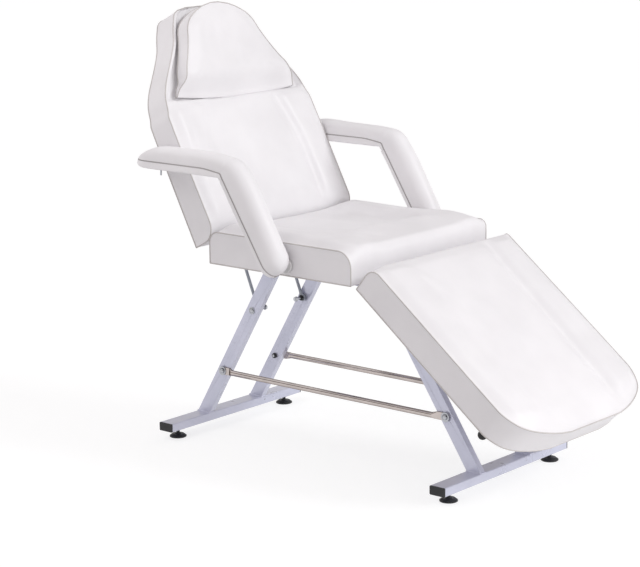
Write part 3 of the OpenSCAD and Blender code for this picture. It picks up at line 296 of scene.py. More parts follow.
def leather(name, low, high, grain=1.0):
    """Coated leather cloth: pebbled grain, faint creases and an uneven soft gloss."""
    material, tree, principled, coords = drifting(name, low, high, 7.0, (0.40, 0.52),
                                                  Specular_IOR_Level=0.42)
    pebble = texture(tree, coords, "ShaderNodeTexVoronoi", feature="SMOOTH_F1", Scale=620.0)
    crease = texture(tree, coords, Scale=34.0, Detail=5.0, Roughness=0.62, Distortion=0.6)
    swell = texture(tree, coords, Scale=9.0, Detail=2.0)
    bumps(tree, principled, [(pebble.outputs["Distance"], 0.12 * grain, 0.0006),
                             (crease.outputs["Fac"], 0.10 * grain, 0.002),
                             (swell.outputs["Fac"], 0.18, 0.004)])
    return material


def paint(name, low, high):
    """Glossy sprayed enamel with a light orange peel."""
    material, tree, principled, coords = drifting(name, low, high, 11.0, (0.26, 0.36), Metallic=0.35,
                                                  Coat_Weight=0.6, Coat_Roughness=0.08)
    peel = texture(tree, coords, Scale=260.0, Detail=2.0)
    bumps(tree, principled, [(peel.outputs["Fac"], 0.05, 0.0006)])
    return material


def metal(name, low, high, rough, brushed=0.0, edge=(1, 1, 1)):
    """Bare or plated metal; brushed stretches fine lines along X, and edge darkens glancing views as a painted
    dark reflection.
    """
    material, tree, principled, coords = drifting(name, low, high, 30.0, rough, Metallic=1.0,
                                                  Specular_Tint=(*edge, 1))
    stretch = texture(tree, coords, "ShaderNodeMapping",
                      Scale=(8.0, 300.0, 300.0) if brushed else (90.0, 90.0, 90.0))
    lines = texture(tree, stretch.outputs["Vector"], Scale=1.0, Detail=3.0)
    bumps(tree, principled, [(lines.outputs["Fac"], 0.03 + brushed, 0.0004)])
    return material


def moulded(name, low, high, rough, grain=0.12):
    """Moulded plastic or rubber with a fine spark-eroded texture."""
    material, tree, principled, coords = drifting(name, low, high, 40.0, rough, Specular_IOR_Level=0.4)
    spark = texture(tree, coords, Scale=900.0, Detail=2.0)
    bumps(tree, principled, [(spark.outputs["Fac"], grain, 0.0004)])
    return material


def wood(name, low, high):
    """Bare birch plywood: long soft grain and pores."""
    material, tree, principled = shader(name, Roughness=0.6)
    stretch = texture(tree, object_coords(tree), "ShaderNodeMapping", Scale=(2.0, 34.0, 120.0))
    grain = texture(tree, stretch.outputs["Vector"], Scale=1.6, Detail=6.0, Roughness=0.6, Distortion=0.8)
    tinted(tree, principled, grain.outputs["Fac"], low, high, (0, 1))
    bumps(tree, principled, [(grain.outputs["Fac"], 0.15, 0.001)])
    return material


WHITE = leather("white_leather_cloth", (0.81, 0.795, 0.81), (0.85, 0.835, 0.85))
# Painted shade: the piping is the covers' own white leather. Its grey stands in for the shadow in the seam
# creases, and the arm's darker grey stands in for the shade under the arm's crown.
SHADED_PIPING = leather("piping_painted_shade", (0.54, 0.515, 0.50), (0.62, 0.595, 0.58), grain=0.6)
ARM_SHADED_PIPING = leather("arm_piping_painted_shade", (0.34, 0.325, 0.325), (0.42, 0.40, 0.40), grain=0.6)
PAINT = paint("lavender_silver_enamel", (0.59, 0.605, 0.73), (0.65, 0.66, 0.79))
# Painted reflection: the dark brown edge tint darkens the chrome at glancing views, standing in for dark
# surroundings mirrored along the rods' edges.
CHROME = metal("polished_chrome", (0.50, 0.45, 0.43), (0.57, 0.51, 0.49), (0.06, 0.10),
               edge=(0.16, 0.12, 0.10))
# Painted reflection: the grey edge tint darkens the zinc at glancing views in the same way.
ZINC = metal("zinc_plate", (0.40, 0.41, 0.44), (0.52, 0.53, 0.56), (0.22, 0.36), brushed=0.05,
             edge=(0.30, 0.30, 0.32))
BLACK = moulded("black_nylon", (0.014, 0.014, 0.016), (0.026, 0.026, 0.029), (0.36, 0.5))
RUBBER = moulded("black_rubber", (0.012, 0.012, 0.012), (0.024, 0.024, 0.025), (0.55, 0.7), grain=0.25)
ROD_GREY = moulded("blue_grey_lacquer", (0.36, 0.39, 0.44), (0.44, 0.47, 0.52), (0.3, 0.4), grain=0.03)
WHITE_PLASTIC = moulded("white_nylon", (0.74, 0.74, 0.74), (0.80, 0.80, 0.79), (0.3, 0.42))
PLYWOOD = wood("birch_plywood", (0.46, 0.31, 0.17), (0.70, 0.54, 0.35))
SLOT_MATERIALS = {"upholstery": WHITE, "frame_paint": PAINT, "chrome": CHROME, "zinc_steel": ZINC,
                  "black_plastic": BLACK, "black_rubber": RUBBER, "white_plastic": WHITE_PLASTIC,
                  "plywood": PLYWOOD}
for part in frame["record"]["subparts"]:
    is_strut_rod = part["node"].endswith("_strut_rod")
    materials = nodes[part["node"]].data.materials
    materials.clear()
    materials.append(ROD_GREY if is_strut_rod else SLOT_MATERIALS[part["material_slot"]])

# Pads: a top panel that can fall over its ends, side panels, piping along every seam
ACROSS = 88
ACROSS_CROWDED = 0.3
SIDE_LEVELS = 9
PIPE_R = 1.8 * MM
PIPE_STEP = 12 * MM
PIPE_SIDE_STEPS = 6
PAD_STEP = 6.2 * MM
SIDE_EASE = 30 * MM
END_BULGE = 2.2 * MM
CLOTH_FRAMES = 20
CLOTH_FOAM = 0.08
CLOTH = {"quality": 5, "mass": 0.002, "tension_stiffness": 20, "compression_stiffness": 20,
         "shear_stiffness": 8, "bending_stiffness": 5, "air_damping": 2, "vertex_group_mass": "pins",
         "vertex_group_shrink": "slack", "shrink_min": 0.0, "shrink_max": -0.03,
         "use_pressure": True, "uniform_pressure_force": 1.0}
CLOTH_SMOOTHED = 4
CLOTH_LEVELLING = 160
CLOTH_LEVELLED = 0.85
CLOTH_REACH = 8 * MM


def blurred(grid, times):
    """Each point of a grid of vectors drawn towards its four neighbours, so many times."""
    for _ in range(times):
        wide = np.pad(grid, ((1, 1), (1, 1), (0, 0)), mode="edge")
        grid = (wide[:-2, 1:-1] + wide[2:, 1:-1] + wide[1:-1, :-2] + wide[1:-1, 2:] + 4 * grid) / 8
    return grid


def puff(rows, held):
    """Runs a cover panel as cloth over its foam and adds its folds and fullness to the rows.

    held has one share per point: 1 where stitches or the headrest keep the cover down. The
    shift is smoothed, loses most of its general swelling, and is capped.
    """
    columns = len(rows[0])
    cover = new_object("cover_cloth", [p for row in rows for p in row],
                       grid_faces(len(rows), columns, flip=rows[0][0].x < rows[-1][0].x))
    pins, slack = cover.vertex_groups.new(name="pins"), cover.vertex_groups.new(name="slack")
    for i in range(len(rows)):
        for j in range(columns):
            edge = i in (0, len(rows) - 1) or j in (0, columns - 1)
            grip = 1.0 if edge else rising(CLOTH_FOAM, held[i][j])
            pins.add([i * columns + j], grip, "REPLACE")
            slack.add([i * columns + j], 1.0, "REPLACE")
    cloth = cover.modifiers.new("Cloth", "CLOTH")
    for key, value in CLOTH.items():
        setattr(cloth.settings, key, value)
    cloth.settings.effector_weights.gravity = 0
    cloth.point_cache.frame_start, cloth.point_cache.frame_end = 1, CLOTH_FRAMES
    for frame_number in range(1, CLOTH_FRAMES + 1):
        bpy.context.scene.frame_set(frame_number)
    moved = cover.evaluated_get(bpy.context.evaluated_depsgraph_get()).data
    start = np.array([[tuple(p) for p in row] for row in rows])
    end = np.array([tuple(v.co) for v in moved.vertices]).reshape(start.shape)
    shift = blurred(end - start, CLOTH_SMOOTHED)
    shift -= CLOTH_LEVELLED * blurred(shift, CLOTH_LEVELLING)
    shift *= 1 - np.array(held)[:, :, None]
    length = np.linalg.norm(shift, axis=2, keepdims=True)
    shift *= np.minimum(1.0, CLOTH_REACH / np.maximum(length, 1e-9))
    shift[0], shift[-1], shift[:, 0], shift[:, -1] = 0, 0, 0, 0
    bpy.data.objects.remove(cover)
    bpy.context.scene.frame_set(1)
    return [[Vector(p) for p in row] for row in start + shift]


def nothing(*places):
    return 0.0


class Pad:
    """A pad in its own space: x runs from the near end, z from the underside to the seam.

    half, low and seam give half the width, the underside and the top seam at x; lean, how far
    the foot of the far end leans in; flare, how much wider the underside is; slim, how much
    narrower the right-hand half is. near_cut(y) shortens the near end, square gives the
    right-hand side its own end radii, and rise(x, y) is the top panel's height over the seam.
    """

    def __init__(self, name, where, near_x, direction, length, half, low, seam, near_r, far_r,
                 rise, lean=nothing, tuck=3 * MM, flare=nothing, near_cut=nothing, slim=nothing,
                 square=None, held=nothing):
        self.name, self.where = name, where
        self.near_x, self.direction, self.length = near_x, direction, length
        self.half, self.low, self.seam, self.rise, self.lean = half, low, seam, rise, lean
        self.near_r, self.far_r, self.tuck = near_r, far_r, tuck
        self.flare, self.near_cut, self.slim, self.square = flare, near_cut, slim, square
        self.held = held

    def end_drop(self, x, near_r, far_r):
        drop = 0.0
        for distance, r in ((x, near_r), (self.length - x, far_r)):
            if distance < r:
                drop += r - math.sqrt(max(0.0, r * r - (r - distance) ** 2))
        return drop

    def top(self, x, y=None):
        """Height of the top panel: its ends turn tighter away from the side seams."""
        drop = self.end_drop(x, self.near_r, self.far_r)
        if self.square and y is not None:
            near_r, far_r, full = self.square(self.half(x) + y)
            drop += (self.end_drop(x, near_r, far_r) - drop) * full
        return self.seam(x) - drop

    def place(self, x, y, z, level=1.0):
        """Point in the space; level 0 is the underside, where the far end leans in."""
        if y < 0:
            y *= 1 - self.slim(x) / self.half(x)
        x += self.near_cut(y) * (1 - x / self.length) ** 3
        y *= 1 + self.flare(x) * (1 - level) / self.half(x)
        return Vector((self.near_x + self.direction * (x - self.lean(x) * (1 - level)), y, z))

    def stations(self):
        """Places along x, close together where an end turns down."""
        xs = [self.near_r * (1 - math.cos(math.radians(a))) for a in range(0, 90, 10)]
        flat = self.length - self.near_r - self.far_r
        count = int(flat / PAD_STEP)
        xs += [self.near_r + flat * i / count for i in range(count + 1)]
        if self.far_r > 0:
            xs += [self.length - self.far_r * (1 - math.cos(math.radians(a)))
                   for a in range(80, -1, -10)]
        return xs

    def build(self):
        xs = self.stations()
        across = [-math.cos(math.pi * j / ACROSS) * ACROSS_CROWDED
                  + (2 * j / ACROSS - 1) * (1 - ACROSS_CROWDED) for j in range(ACROSS + 1)]
        levels = [k / SIDE_LEVELS for k in range(SIDE_LEVELS + 1)]
        verts, faces = [], []

        def add_grid(rows):
            first = len(verts)
            for row in rows:
                verts.extend(row)
            faces.extend(grid_faces(len(rows), len(rows[0]), first))

        def end_row(x, level):
            low, half = self.low(x), self.half(x)
            bulge = END_BULGE * math.sin(math.pi * level) * (-1 if x < self.length / 2 else 1)
            return [self.place(x + bulge * (1 - t ** 6), half * t,
                               low + (self.top(x, half * t) - low) * level, level) for t in across]

        def top_row(x):
            half = self.half(x)
            return [self.place(x, half * t, self.top(x, half * t) + self.rise(x, half * t))
                    for t in across]

        cover = [top_row(x) for x in xs]
        cover = puff(cover, [[self.held(x, self.half(x) * t) for t in across] for x in xs])
        rows = [end_row(xs[0], level) for level in levels[:-1]] + cover
        rows += [end_row(xs[-1], level) for level in reversed(levels[:-1])]
        add_grid(rows)
        add_grid([[self.place(x, self.half(x) * t, self.low(x), 0.0) for t in across] for x in xs])
        tucks = [self.tuck * math.sin(math.pi * level) for level in levels]
        for side in (-1, 1):
            columns = []
            for x in xs:
                ends = max(0.0, min(1.0, x / SIDE_EASE) * min(1.0, (self.length - x) / SIDE_EASE))
                columns.append([self.side_point(x, side, level, tuck * ends)
                                for level, tuck in zip(levels, tucks)])
            add_grid(columns)
        obj = new_object(self.name, verts, faces, self.where)
        weld(obj)
        return obj

    def side_point(self, x, side, level, tuck=0.0):
        """Point on a side panel: level 1 is the top seam, 0 the lower edge."""
        half, low = self.half(x), self.low(x)
        high = self.top(x, side * half)
        return self.place(x, side * (half - tuck), low + (high - low) * level, level)

    def seam_path(self, side, level=1.0):
        """The seam along one side."""
        return [self.side_point(x, side, level) for x in self.stations()]

    def end_path(self, x, side):
        """The upright seam at one end of a side, from the underside up."""
        return [self.side_point(x, side, k / PIPE_SIDE_STEPS) for k in range(PIPE_SIDE_STEPS + 1)]


def thin(points, step=PIPE_STEP):
    """Keeps points about a step apart, with the first and last."""
    kept = [points[0]]
    for p in points[1:-1]:
        if (p - kept[-1]).length >= step * 0.5:
            kept.append(p)
    return kept + [points[-1]]


def pipe(name, points, pad, body, closed=False):
    dress(tube(name, thin(points), PIPE_R, pad.where, closed), body, SHADED_PIPING)


# Relief that the pads share: bolsters along the sides, stitched channels, soft folds
UNDER_LAP = 0.5 * MM
BOLSTER = 14 * MM
BOLSTER_EASE = 42 * MM
BOLSTER_BLEND = 26 * MM
CENTRE_RISE = 8 * MM
FOLD_EASE = 26 * MM
half_pad = (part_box("seat_cushion")[1].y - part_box("seat_cushion")[0].y) / 2


def bolstered(from_side, across, line):
    """Height of the bolster outside a channel's line, and of the centre inside it."""
    inner = smooth(line + BOLSTER_BLEND, line - BOLSTER_BLEND, abs(across))
    return smooth(0, BOLSTER_EASE, from_side) * BOLSTER * (1 - inner) + CENTRE_RISE * inner


def channel(distance, width):
    """Depth share of a stitched channel at a distance from its line."""
    return math.exp(-(distance / width) ** 2)


def stitched(y, line, stitches):
    """Depth of the channel on y's side; stitches has (depth, width) on the left and the right."""
    depth, width = stitches[0 if y > 0 else 1]
    return depth * channel(abs(y) - line, width)


def folds(x, y, list_of_folds):
    """Sum of soft folds, each (x, y, along, across, depth, angle in degrees)."""
    total = 0.0
    for fx, fy, along, wide, depth, angle in list_of_folds:
        a = math.radians(angle)
        dx, dy = x - fx * MM, y - fy * MM
        u = dx * math.cos(a) + dy * math.sin(a)
        v = -dx * math.sin(a) + dy * math.cos(a)
        total += depth * MM * math.exp(-(u / (along * MM)) ** 2 - (v / (wide * MM)) ** 2)
    return total


def undulation(x, y, seed, size=110 * MM, depth=0.9 * MM):
    """The unevenness of foam under a cover."""
    return depth * noise.noise(Vector((x / size, y / size, seed)))


def creased(x, y, list_of_folds, seed, from_side):
    """Folds and unevenness, held flat by the side seams."""
    return (folds(x, y, list_of_folds) + undulation(x, y, seed)) * smooth(0, FOLD_EASE, from_side)


# Seat pad: a rim along its sides and front, sat down at the rear and left
seat_low, seat_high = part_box("seat_board")
SEAT_OVERHANG = 2 * MM
seat_x0, seat_x1 = seat_low.x - SEAT_OVERHANG, seat_high.x + SEAT_OVERHANG
seat_length = seat_x1 - seat_x0
seat_under = seat_low.z
SEAT_SEAM = seat_under + 90 * MM
SEAT_REAR_R = 30 * MM
SEAT_FRONT_R = 44 * MM
SEAT_RIGHT_FRONT_R = 20 * MM
SEAT_RIM = 21 * MM
SEAT_RIM_EASE = 44 * MM
SEAT_SIDE_RIM = (70 * MM, 160 * MM)
SEAT_FRONT_RIM = (120 * MM, 205 * MM)
SEAT_SIDE_LOWEST = 0.35
SEAT_FRONT_LOWEST = 0.3
SEAT_REAR_EASE = 60 * MM
SEAT_FRONT_EASE = 70 * MM
SEAT_FRONT_LIP = 14 * MM
SEAT_SQUARE_EASE = 80 * MM
SEAT_SUNK = 7 * MM
SEAT_SUNK_EASE = 60 * MM
SEAT_SUNK_ACROSS = (-60 * MM, 190 * MM)
SEAT_SUNK_ALONG = (230 * MM, 420 * MM)
SEAT_FOLDS = [(120, -150, 110, 22, -3.0, 12), (330, -215, 90, 12, -2.5, -20), (420, -120, 60, 16, 3.0, 35),
              (250, 60, 150, 26, -2.2, 8), (395, 40, 70, 14, -2.0, 60), (180, 190, 90, 20, -3.0, -8),
              (60, 40, 26, 120, 2.0, 0), (455, -200, 30, 60, -2.4, 10), (300, -60, 90, 18, 1.8, 25),
              (290, 182, 180, 28, -8.0, -4)]


def seat_rise(x, y):
    to_front = seat_length - x
    from_side = half_pad - abs(y)
    from_rear = smooth(0, SEAT_REAR_EASE, x)
    ends = from_rear * smooth(0, SEAT_FRONT_EASE, to_front)
    full = smooth(0, SEAT_FRONT_RIM[0], to_front)
    edge = smooth(0, SEAT_RIM_EASE, from_side)
    side = edge * (1 - smooth(*SEAT_SIDE_RIM, from_side)) * rising(SEAT_SIDE_LOWEST, full)
    front = edge * (1 - smooth(*SEAT_FRONT_RIM, to_front)) * rising(SEAT_FRONT_LOWEST, full)
    front *= smooth(0, SEAT_FRONT_LIP, to_front)
    rise = SEAT_RIM * (1 - (1 - side) * (1 - front)) * from_rear
    sunk = smooth(*SEAT_SUNK_ACROSS, y) * (1 - smooth(*SEAT_SUNK_ALONG, x))
    rise -= SEAT_SUNK * sunk * smooth(0, SEAT_SUNK_EASE, from_side) * ends
    return rise + creased(x, y, SEAT_FOLDS, 1.7, from_side) * ends


def seat_square(from_right):
    """The front turns tighter away from the right-hand seam."""
    return SEAT_REAR_R, SEAT_RIGHT_FRONT_R, smooth(0, SEAT_SQUARE_EASE, from_right)


seat_pad = Pad("seat_pad", seat_space, seat_x0, 1, seat_length, lambda x: half_pad,
               lambda x: seat_under - UNDER_LAP, lambda x: SEAT_SEAM, SEAT_REAR_R, SEAT_FRONT_R,
               seat_rise, square=seat_square)

# Back pad: widths and channel places as shares of its length
BACK_WIDTH_SHARES = [(0, 1), (0.53, 1), (0.56, 0.977), (0.62, 0.941), (0.677, 0.869), (0.735, 0.767),
                     (0.793, 0.662), (0.852, 0.567), (0.91, 0.505), (0.955, 0.447), (0.975, 0.415),
                     (0.988, 0.37), (0.996, 0.31), (1, 0.235)]
back_low, back_high = local_box("back_cushion", back_space)
head_half_near = local_box("headrest_cushion", head_space)[1].y
back_near = back_high.x
back_length = back_high.x - back_low.x
back_under_near = local_box("back_board", back_space)[0].z
BACK_SEAM = 77 * MM
BACK_LOW_R = 48 * MM
BACK_TAPER = 10 * MM
BACK_NEAR_EASE = 80 * MM
BACK_FAR_EASE = 50 * MM
HEAD_FROM_SHARE = 0.595
HEAD_COVERS_SHARES = (HEAD_FROM_SHARE - 0.055, HEAD_FROM_SHARE - 0.005)
HEAD_HOLDS_SHARES = (HEAD_FROM_SHARE - 0.05, HEAD_FROM_SHARE - 0.02)
HEAD_SKEW_FROM = 0.1
BED_SHARES = [(0.579, 0), (0.589, 1), (0.62, 0.97), (0.668, 0.74), (0.741, 0.49), (0.814, 0.24),
              (0.88, 0), (1, 0)]
BED_DEPTH = 16 * MM
BED_LEFT_EASE = (0, 14 * MM)
BED_RIGHT_EASE = (12 * MM, 20 * MM)
GROOVE = 6 * MM
GROOVE_SHARES = (0.579, 0.589)
GROOVE_WIDTH = (44 * MM, 80 * MM)
LIP = 15 * MM
BACK_CHANNEL_LINE = [(0, 184 * MM), (0.35, 184 * MM), (0.46, 169 * MM), (0.55, 154 * MM), (1, 110 * MM)]
BACK_STITCHES = ((9 * MM, 18 * MM), (2.5 * MM, 16 * MM))
BACK_FOLDS = [(70, -120, 22, 60, 2.0, 0), (95, 110, 16, 80, -2.0, 0), (210, -40, 120, 30, 1.4, 12),
              (330, 90, 90, 24, -1.4, -10), (120, 245, 70, 12, -1.6, 4), (300, -250, 90, 12, -1.5, 6)]


def back_half(x):
    return half_pad * spline(x / back_length, BACK_WIDTH_SHARES)


def back_channel(x):
    return spline(x / back_length, BACK_CHANNEL_LINE)


def right_skew(y):
    """Grows from 0 near the middle to the headrest's right-hand corner."""
    return max(0.0, -y / head_half_near - HEAD_SKEW_FROM) ** 1.2


def head_bed(x, y, from_side):
    """Depth of the headrest's bed, with a groove beside its right-hand edge."""
    share = (x - LIP * right_skew(y)) / back_length
    if y >= 0:
        return BED_DEPTH * table(share, BED_SHARES) * smooth(*BED_LEFT_EASE, from_side)
    groove = GROOVE * smooth(*GROOVE_SHARES, share) * (1 - smooth(*GROOVE_WIDTH, from_side))
    return (BED_DEPTH * table(share, BED_SHARES) + groove) * smooth(*BED_RIGHT_EASE, from_side)


def back_rise(x, y):
    from_side = back_half(x) - abs(y)
    line = back_channel(x)
    ends = smooth(0, BACK_NEAR_EASE, x) * smooth(0, BACK_FAR_EASE, back_length - x)
    under_head = smooth(*HEAD_COVERS_SHARES, x / back_length)
    rise = bolstered(from_side, y, line)
    rise -= stitched(y, line, BACK_STITCHES)
    rise *= (1 - under_head) * ends
    return rise - head_bed(x, y, from_side) + creased(x, y, BACK_FOLDS, 4.2, from_side) * ends


def back_held(x, y):
    under_head = smooth(*HEAD_HOLDS_SHARES, x / back_length)
    return max(channel(abs(y) - back_channel(x), BACK_STITCHES[1][1]), under_head)


back_pad = Pad("back_pad", back_space, back_near, -1, back_length, back_half,
               lambda x: back_under_near + BACK_TAPER * x / back_length - UNDER_LAP,
               lambda x: BACK_SEAM, BACK_LOW_R, 0.0, back_rise, held=back_held)

# Leg rest pad: its near end starts a little nearer to the seat than the solid
LEG_WIDTH_SHARES = [(0, 1), (0.80, 1), (0.835, 0.985), (0.872, 0.95), (0.905, 0.9), (0.935, 0.82),
                    (0.96, 0.71), (0.98, 0.59), (0.992, 0.49), (1, 0.38)]
leg_low, leg_high = local_box("leg_cushion", leg_space)
leg_length = leg_high.x - leg_low.x
leg_under = local_box("leg_board", leg_space)[0].z
LEG_SEAM = leg_under + 84 * MM
LEG_R = 32 * MM
LEG_RIGHT_R = 10 * MM
LEG_NEAR_EASE = 40 * MM
LEG_FAR_EASE = 70 * MM
LEG_FAR_SPREAD = 0.12
LEG_SQUARE_EASE = 60 * MM
LEG_LEAN = 17 * MM
LEG_LEAN_FROM_SHARE = 0.8
LEG_CHANNEL = 185 * MM
LEG_LEFT_CHANNEL = 190 * MM
LEG_CHANNEL_INWARDS = 35 * MM
LEG_STITCHES = ((11 * MM, 20 * MM), (1.5 * MM, 24 * MM))
LEG_LEAD = 13 * MM
LEG_FOLDS = [(80, -160, 60, 14, 1.8, 30), (150, 60, 120, 26, -1.5, -14), (330, -60, 150, 30, 1.3, 10),
             (480, 110, 90, 22, -1.4, 20), (560, -140, 50, 12, -1.6, -35), (60, 120, 18, 70, 1.8, 0)]


def leg_share(x):
    return max(0.0, x - LEG_LEAD) / leg_length


def leg_half(x):
    return half_pad * spline(leg_share(x), LEG_WIDTH_SHARES)


def leg_channel(x):
    """The left channel runs inwards towards the far end."""
    return LEG_LEFT_CHANNEL - LEG_CHANNEL_INWARDS * leg_share(x)


def leg_rise(x, y):
    from_side = leg_half(x) - abs(y)
    to_far = leg_length + LEG_LEAD - x - LEG_FAR_SPREAD * abs(y)
    ends = smooth(0, LEG_NEAR_EASE, x) * smooth(0, LEG_FAR_EASE, to_far)
    rise = bolstered(from_side, y, LEG_CHANNEL)
    rise -= stitched(y, leg_channel(x) if y > 0 else LEG_CHANNEL, LEG_STITCHES)
    return (rise + creased(x, y, LEG_FOLDS, 7.9, from_side)) * ends


def leg_lean(x):
    return LEG_LEAN * max(0.0, (leg_share(x) - LEG_LEAN_FROM_SHARE) / (1 - LEG_LEAN_FROM_SHARE)) ** 2


def leg_square(from_right):
    """The near end turns tighter away from the right-hand seam."""
    return LEG_RIGHT_R, 0.0, smooth(0, LEG_SQUARE_EASE, from_right)


leg_pad = Pad("leg_rest_pad", leg_space, leg_low.x - LEG_LEAD, 1, leg_length + LEG_LEAD, leg_half,
              lambda x: leg_under - UNDER_LAP, lambda x: LEG_SEAM, LEG_R, 0.0, leg_rise,
              lean=leg_lean, square=leg_square,
              held=lambda x, y: channel(y - leg_channel(x), LEG_STITCHES[0][1]))

# Headrest: a pillow that swells from its lower edge
HEAD_WIDTH_SHARES = [(0, 1), (0.11, 0.969), (0.219, 0.88), (0.328, 0.787), (0.474, 0.686),
                     (0.639, 0.593), (0.76, 0.54), (0.84, 0.475), (0.894, 0.395), (0.945, 0.29),
                     (0.98, 0.18), (1, 0.06)]
HEAD_SLIM_LINE = [(0, 20 * MM), (25 * MM, 25 * MM), (48 * MM, 29 * MM), (79 * MM, 14 * MM),
                  (100 * MM, 7 * MM), (154 * MM, 1 * MM), (200 * MM, -2 * MM), (260 * MM, 0)]
HEAD_FOLDS = [(60, 120, 50, 14, -2.0, 70), (120, 40, 90, 22, 1.5, 10), (190, -40, 60, 16, -1.2, 20)]
HEAD_THICK = 40 * MM
HEAD_SWELL = 76 * MM
HEAD_HEM = 6 * MM
HEAD_LEAD = 5 * MM
HEAD_DOME = 8 * MM
HEAD_DOME_EASE = 50 * MM
HEAD_END_EASE = 60 * MM
HEAD_UNDER = 0.3 * MM
HEAD_FLARE = 3 * MM
HEAD_FLARE_ALONG = (10 * MM, 100 * MM)
HEAD_CUT = 21 * MM
HEAD_CORNER_CUT = 5 * MM
head_cad_length = -local_box("headrest_cushion", head_space)[0].x
head_length = HEAD_LEAD + head_cad_length


def head_half(x):
    return head_half_near * spline(max(0.0, x - HEAD_LEAD) / head_cad_length, HEAD_WIDTH_SHARES)


def head_seam(x):
    return HEAD_HEM + (HEAD_THICK - HEAD_HEM) * smooth(-6 * MM, HEAD_SWELL, x)


def head_cut(y):
    """The lower edge is sewn a little shorter towards the right-hand corner."""
    return HEAD_CUT * right_skew(y) + HEAD_CORNER_CUT * abs(y / head_half_near) ** 8


def head_slim(x):
    """How much narrower its right-hand half is sewn."""
    return spline(x, HEAD_SLIM_LINE)


def head_rise(x, y):
    from_side = head_half(x) - abs(y)
    ends = smooth(0, HEAD_END_EASE, x) * smooth(0, HEAD_END_EASE, head_length - x)
    dome = HEAD_DOME * smooth(0, HEAD_DOME_EASE, from_side)
    return (dome + creased(x, y, HEAD_FOLDS, 9.1, from_side)) * ends


head_pad = Pad("headrest_pad", head_space, HEAD_LEAD, -1, head_length, head_half,
               lambda x: HEAD_UNDER, head_seam, 0.0, 0.0, head_rise, tuck=1.5 * MM,
               flare=lambda x: HEAD_FLARE * smooth(*HEAD_FLARE_ALONG, x), near_cut=head_cut,
               slim=head_slim)

for pad, body, cad_name, fill in ((seat_pad, "base", "seat", 0.8), (back_pad, "back", "back", 0.8),
                                  (leg_pad, "leg_rest", "leg", 0.8),
                                  (head_pad, "headrest", "headrest", 0.7)):
    piece = pad.build()
    shade_smooth(piece, 50)
    dress(piece, body, WHITE, [cad_name + "_cushion", cad_name + "_board"])

# Piping: round each side panel of the seat, and along the front and rear seams of the boxed pads
for side, label in SIDES:
    low_edge = seat_pad.seam_path(side, 0.0)
    loop = seat_pad.end_path(0.0, side)[:-1] + seat_pad.seam_path(side)
    loop += seat_pad.end_path(seat_pad.length, side)[::-1][1:-1] + low_edge[::-1][:-1]
    pipe("seat_piping_" + label, loop, seat_pad, "base", closed=True)
for pad, body in ((back_pad, "back"), (leg_pad, "leg_rest"), (head_pad, "headrest")):
    for level, label in ((1.0, "front"), (0.0, "rear")):
        right = pad.seam_path(-1, level)
        left = pad.seam_path(1, level)
        if level:
            right = pad.end_path(0.0, -1)[:-1] + right
            left = pad.end_path(0.0, 1)[:-1] + left
        pipe(pad.name + "_piping_" + label, right + left[::-1], pad, body)

# Arms: a half-round pad on a leather-covered board that bends down to its pivot
ARM_SLOPE = math.radians(60)
ARM_INNER_R = 10 * MM
ARM_BOARD = 20 * MM
ARM_CROWN = 39 * MM
ARM_OUTER_R = ARM_INNER_R + ARM_BOARD
ARM_STEP = 5 * MM
ARM_PIPE_STEP = 8 * MM
SEAM_LIFT = 1.5 * MM
TIP_IN = 3 * MM
TIP_ROUND = 50 * MM
TIP_SWELL = 100 * MM
FOOT_SWELL = 46 * MM
CORNER_EASE = 8 * MM
CORNER_REACH = 50 * MM
POST_BLEND = (85 * MM, 20 * MM)
POST_EDGE = 10 * MM
POST_EXTRA = (16 * MM, 5 * MM)
CROWN_SQUARE = 0.62
CROWN_ARCH = 3 * MM
CROWN_ARCH_EASE = 160 * MM
CROWN_UNEVEN = 0.7 * MM
LEFT_CROWN_SUNK = 5 * MM
CROWN_SUNK_ALONG = (60 * MM, 200 * MM)
BOARD_TIP_SHARE = 0.12
BOARD_FULL_FROM = 66 * MM
BOARD_TURN = 5 * MM
BOARD_TURN_SHARE = 0.6
BOARD_CREASE = 1.6 * MM
BOARD_WRAP = 7 * MM
BOARD_GAP = 0.4 * MM
NO_WIDTH = 0.3 * MM
BEND_STEPS = 12
POST_PIPING_BACK = 8


class Station:
    """A cross section of an arm: its place on the board's top line and its sizes there."""

    def __init__(self, arm, place, normal, from_tip, from_foot):
        self.place, self.normal = place, normal
        on_post = smooth(arm.flat - POST_BLEND[0], arm.flat + POST_BLEND[1], from_tip)
        tip_round, foot_round = ease_in(from_tip / TIP_ROUND), ease_in(from_foot / arm.half)
        self.half = max(arm.half * min(tip_round, foot_round), NO_WIDTH)
        arch = CROWN_ARCH * smooth(0, CROWN_ARCH_EASE, from_tip)
        arch *= smooth(arm.flat, arm.flat / 2, from_tip)
        high = ARM_CROWN - arm.sunk * smooth(*CROWN_SUNK_ALONG, from_tip) * (1 - on_post)
        self.crown = high * min(ease_in(from_tip / TIP_SWELL) ** 1.6, ease_in(from_foot / FOOT_SWELL))
        corner = (from_tip - arm.flat - arm.bend / 2) / CORNER_REACH
        self.crown += arch - CORNER_EASE * math.exp(-corner ** 2)
        full = ease_in(from_tip / BOARD_FULL_FROM)
        inner = place - normal * ARM_BOARD * rising(BOARD_TIP_SHARE, full)
        if from_tip > arm.flat:
            corner_extra, foot_extra = POST_EXTRA
            share = max(0.0, from_tip - arm.flat - arm.bend) / arm.foot_run
            inner -= normal * (corner_extra + (foot_extra - corner_extra) * share)
        past = (inner.x - arm.corner.x if from_tip <= arm.flat else
                (arm.corner - inner).dot(arm.down))
        self.inwards = (arm.corner if past > 0 else inner) - place
        self.thick = self.inwards.length
        self.drop = (self.thick - POST_EDGE) * on_post

    def point(self, out, across):
        """Point a height above the board's top line, or below it towards the inner line."""
        if out >= 0:
            return self.place + self.normal * out + Vector((0, across, 0))
        return self.place - self.inwards * (out / self.thick) + Vector((0, across, 0))


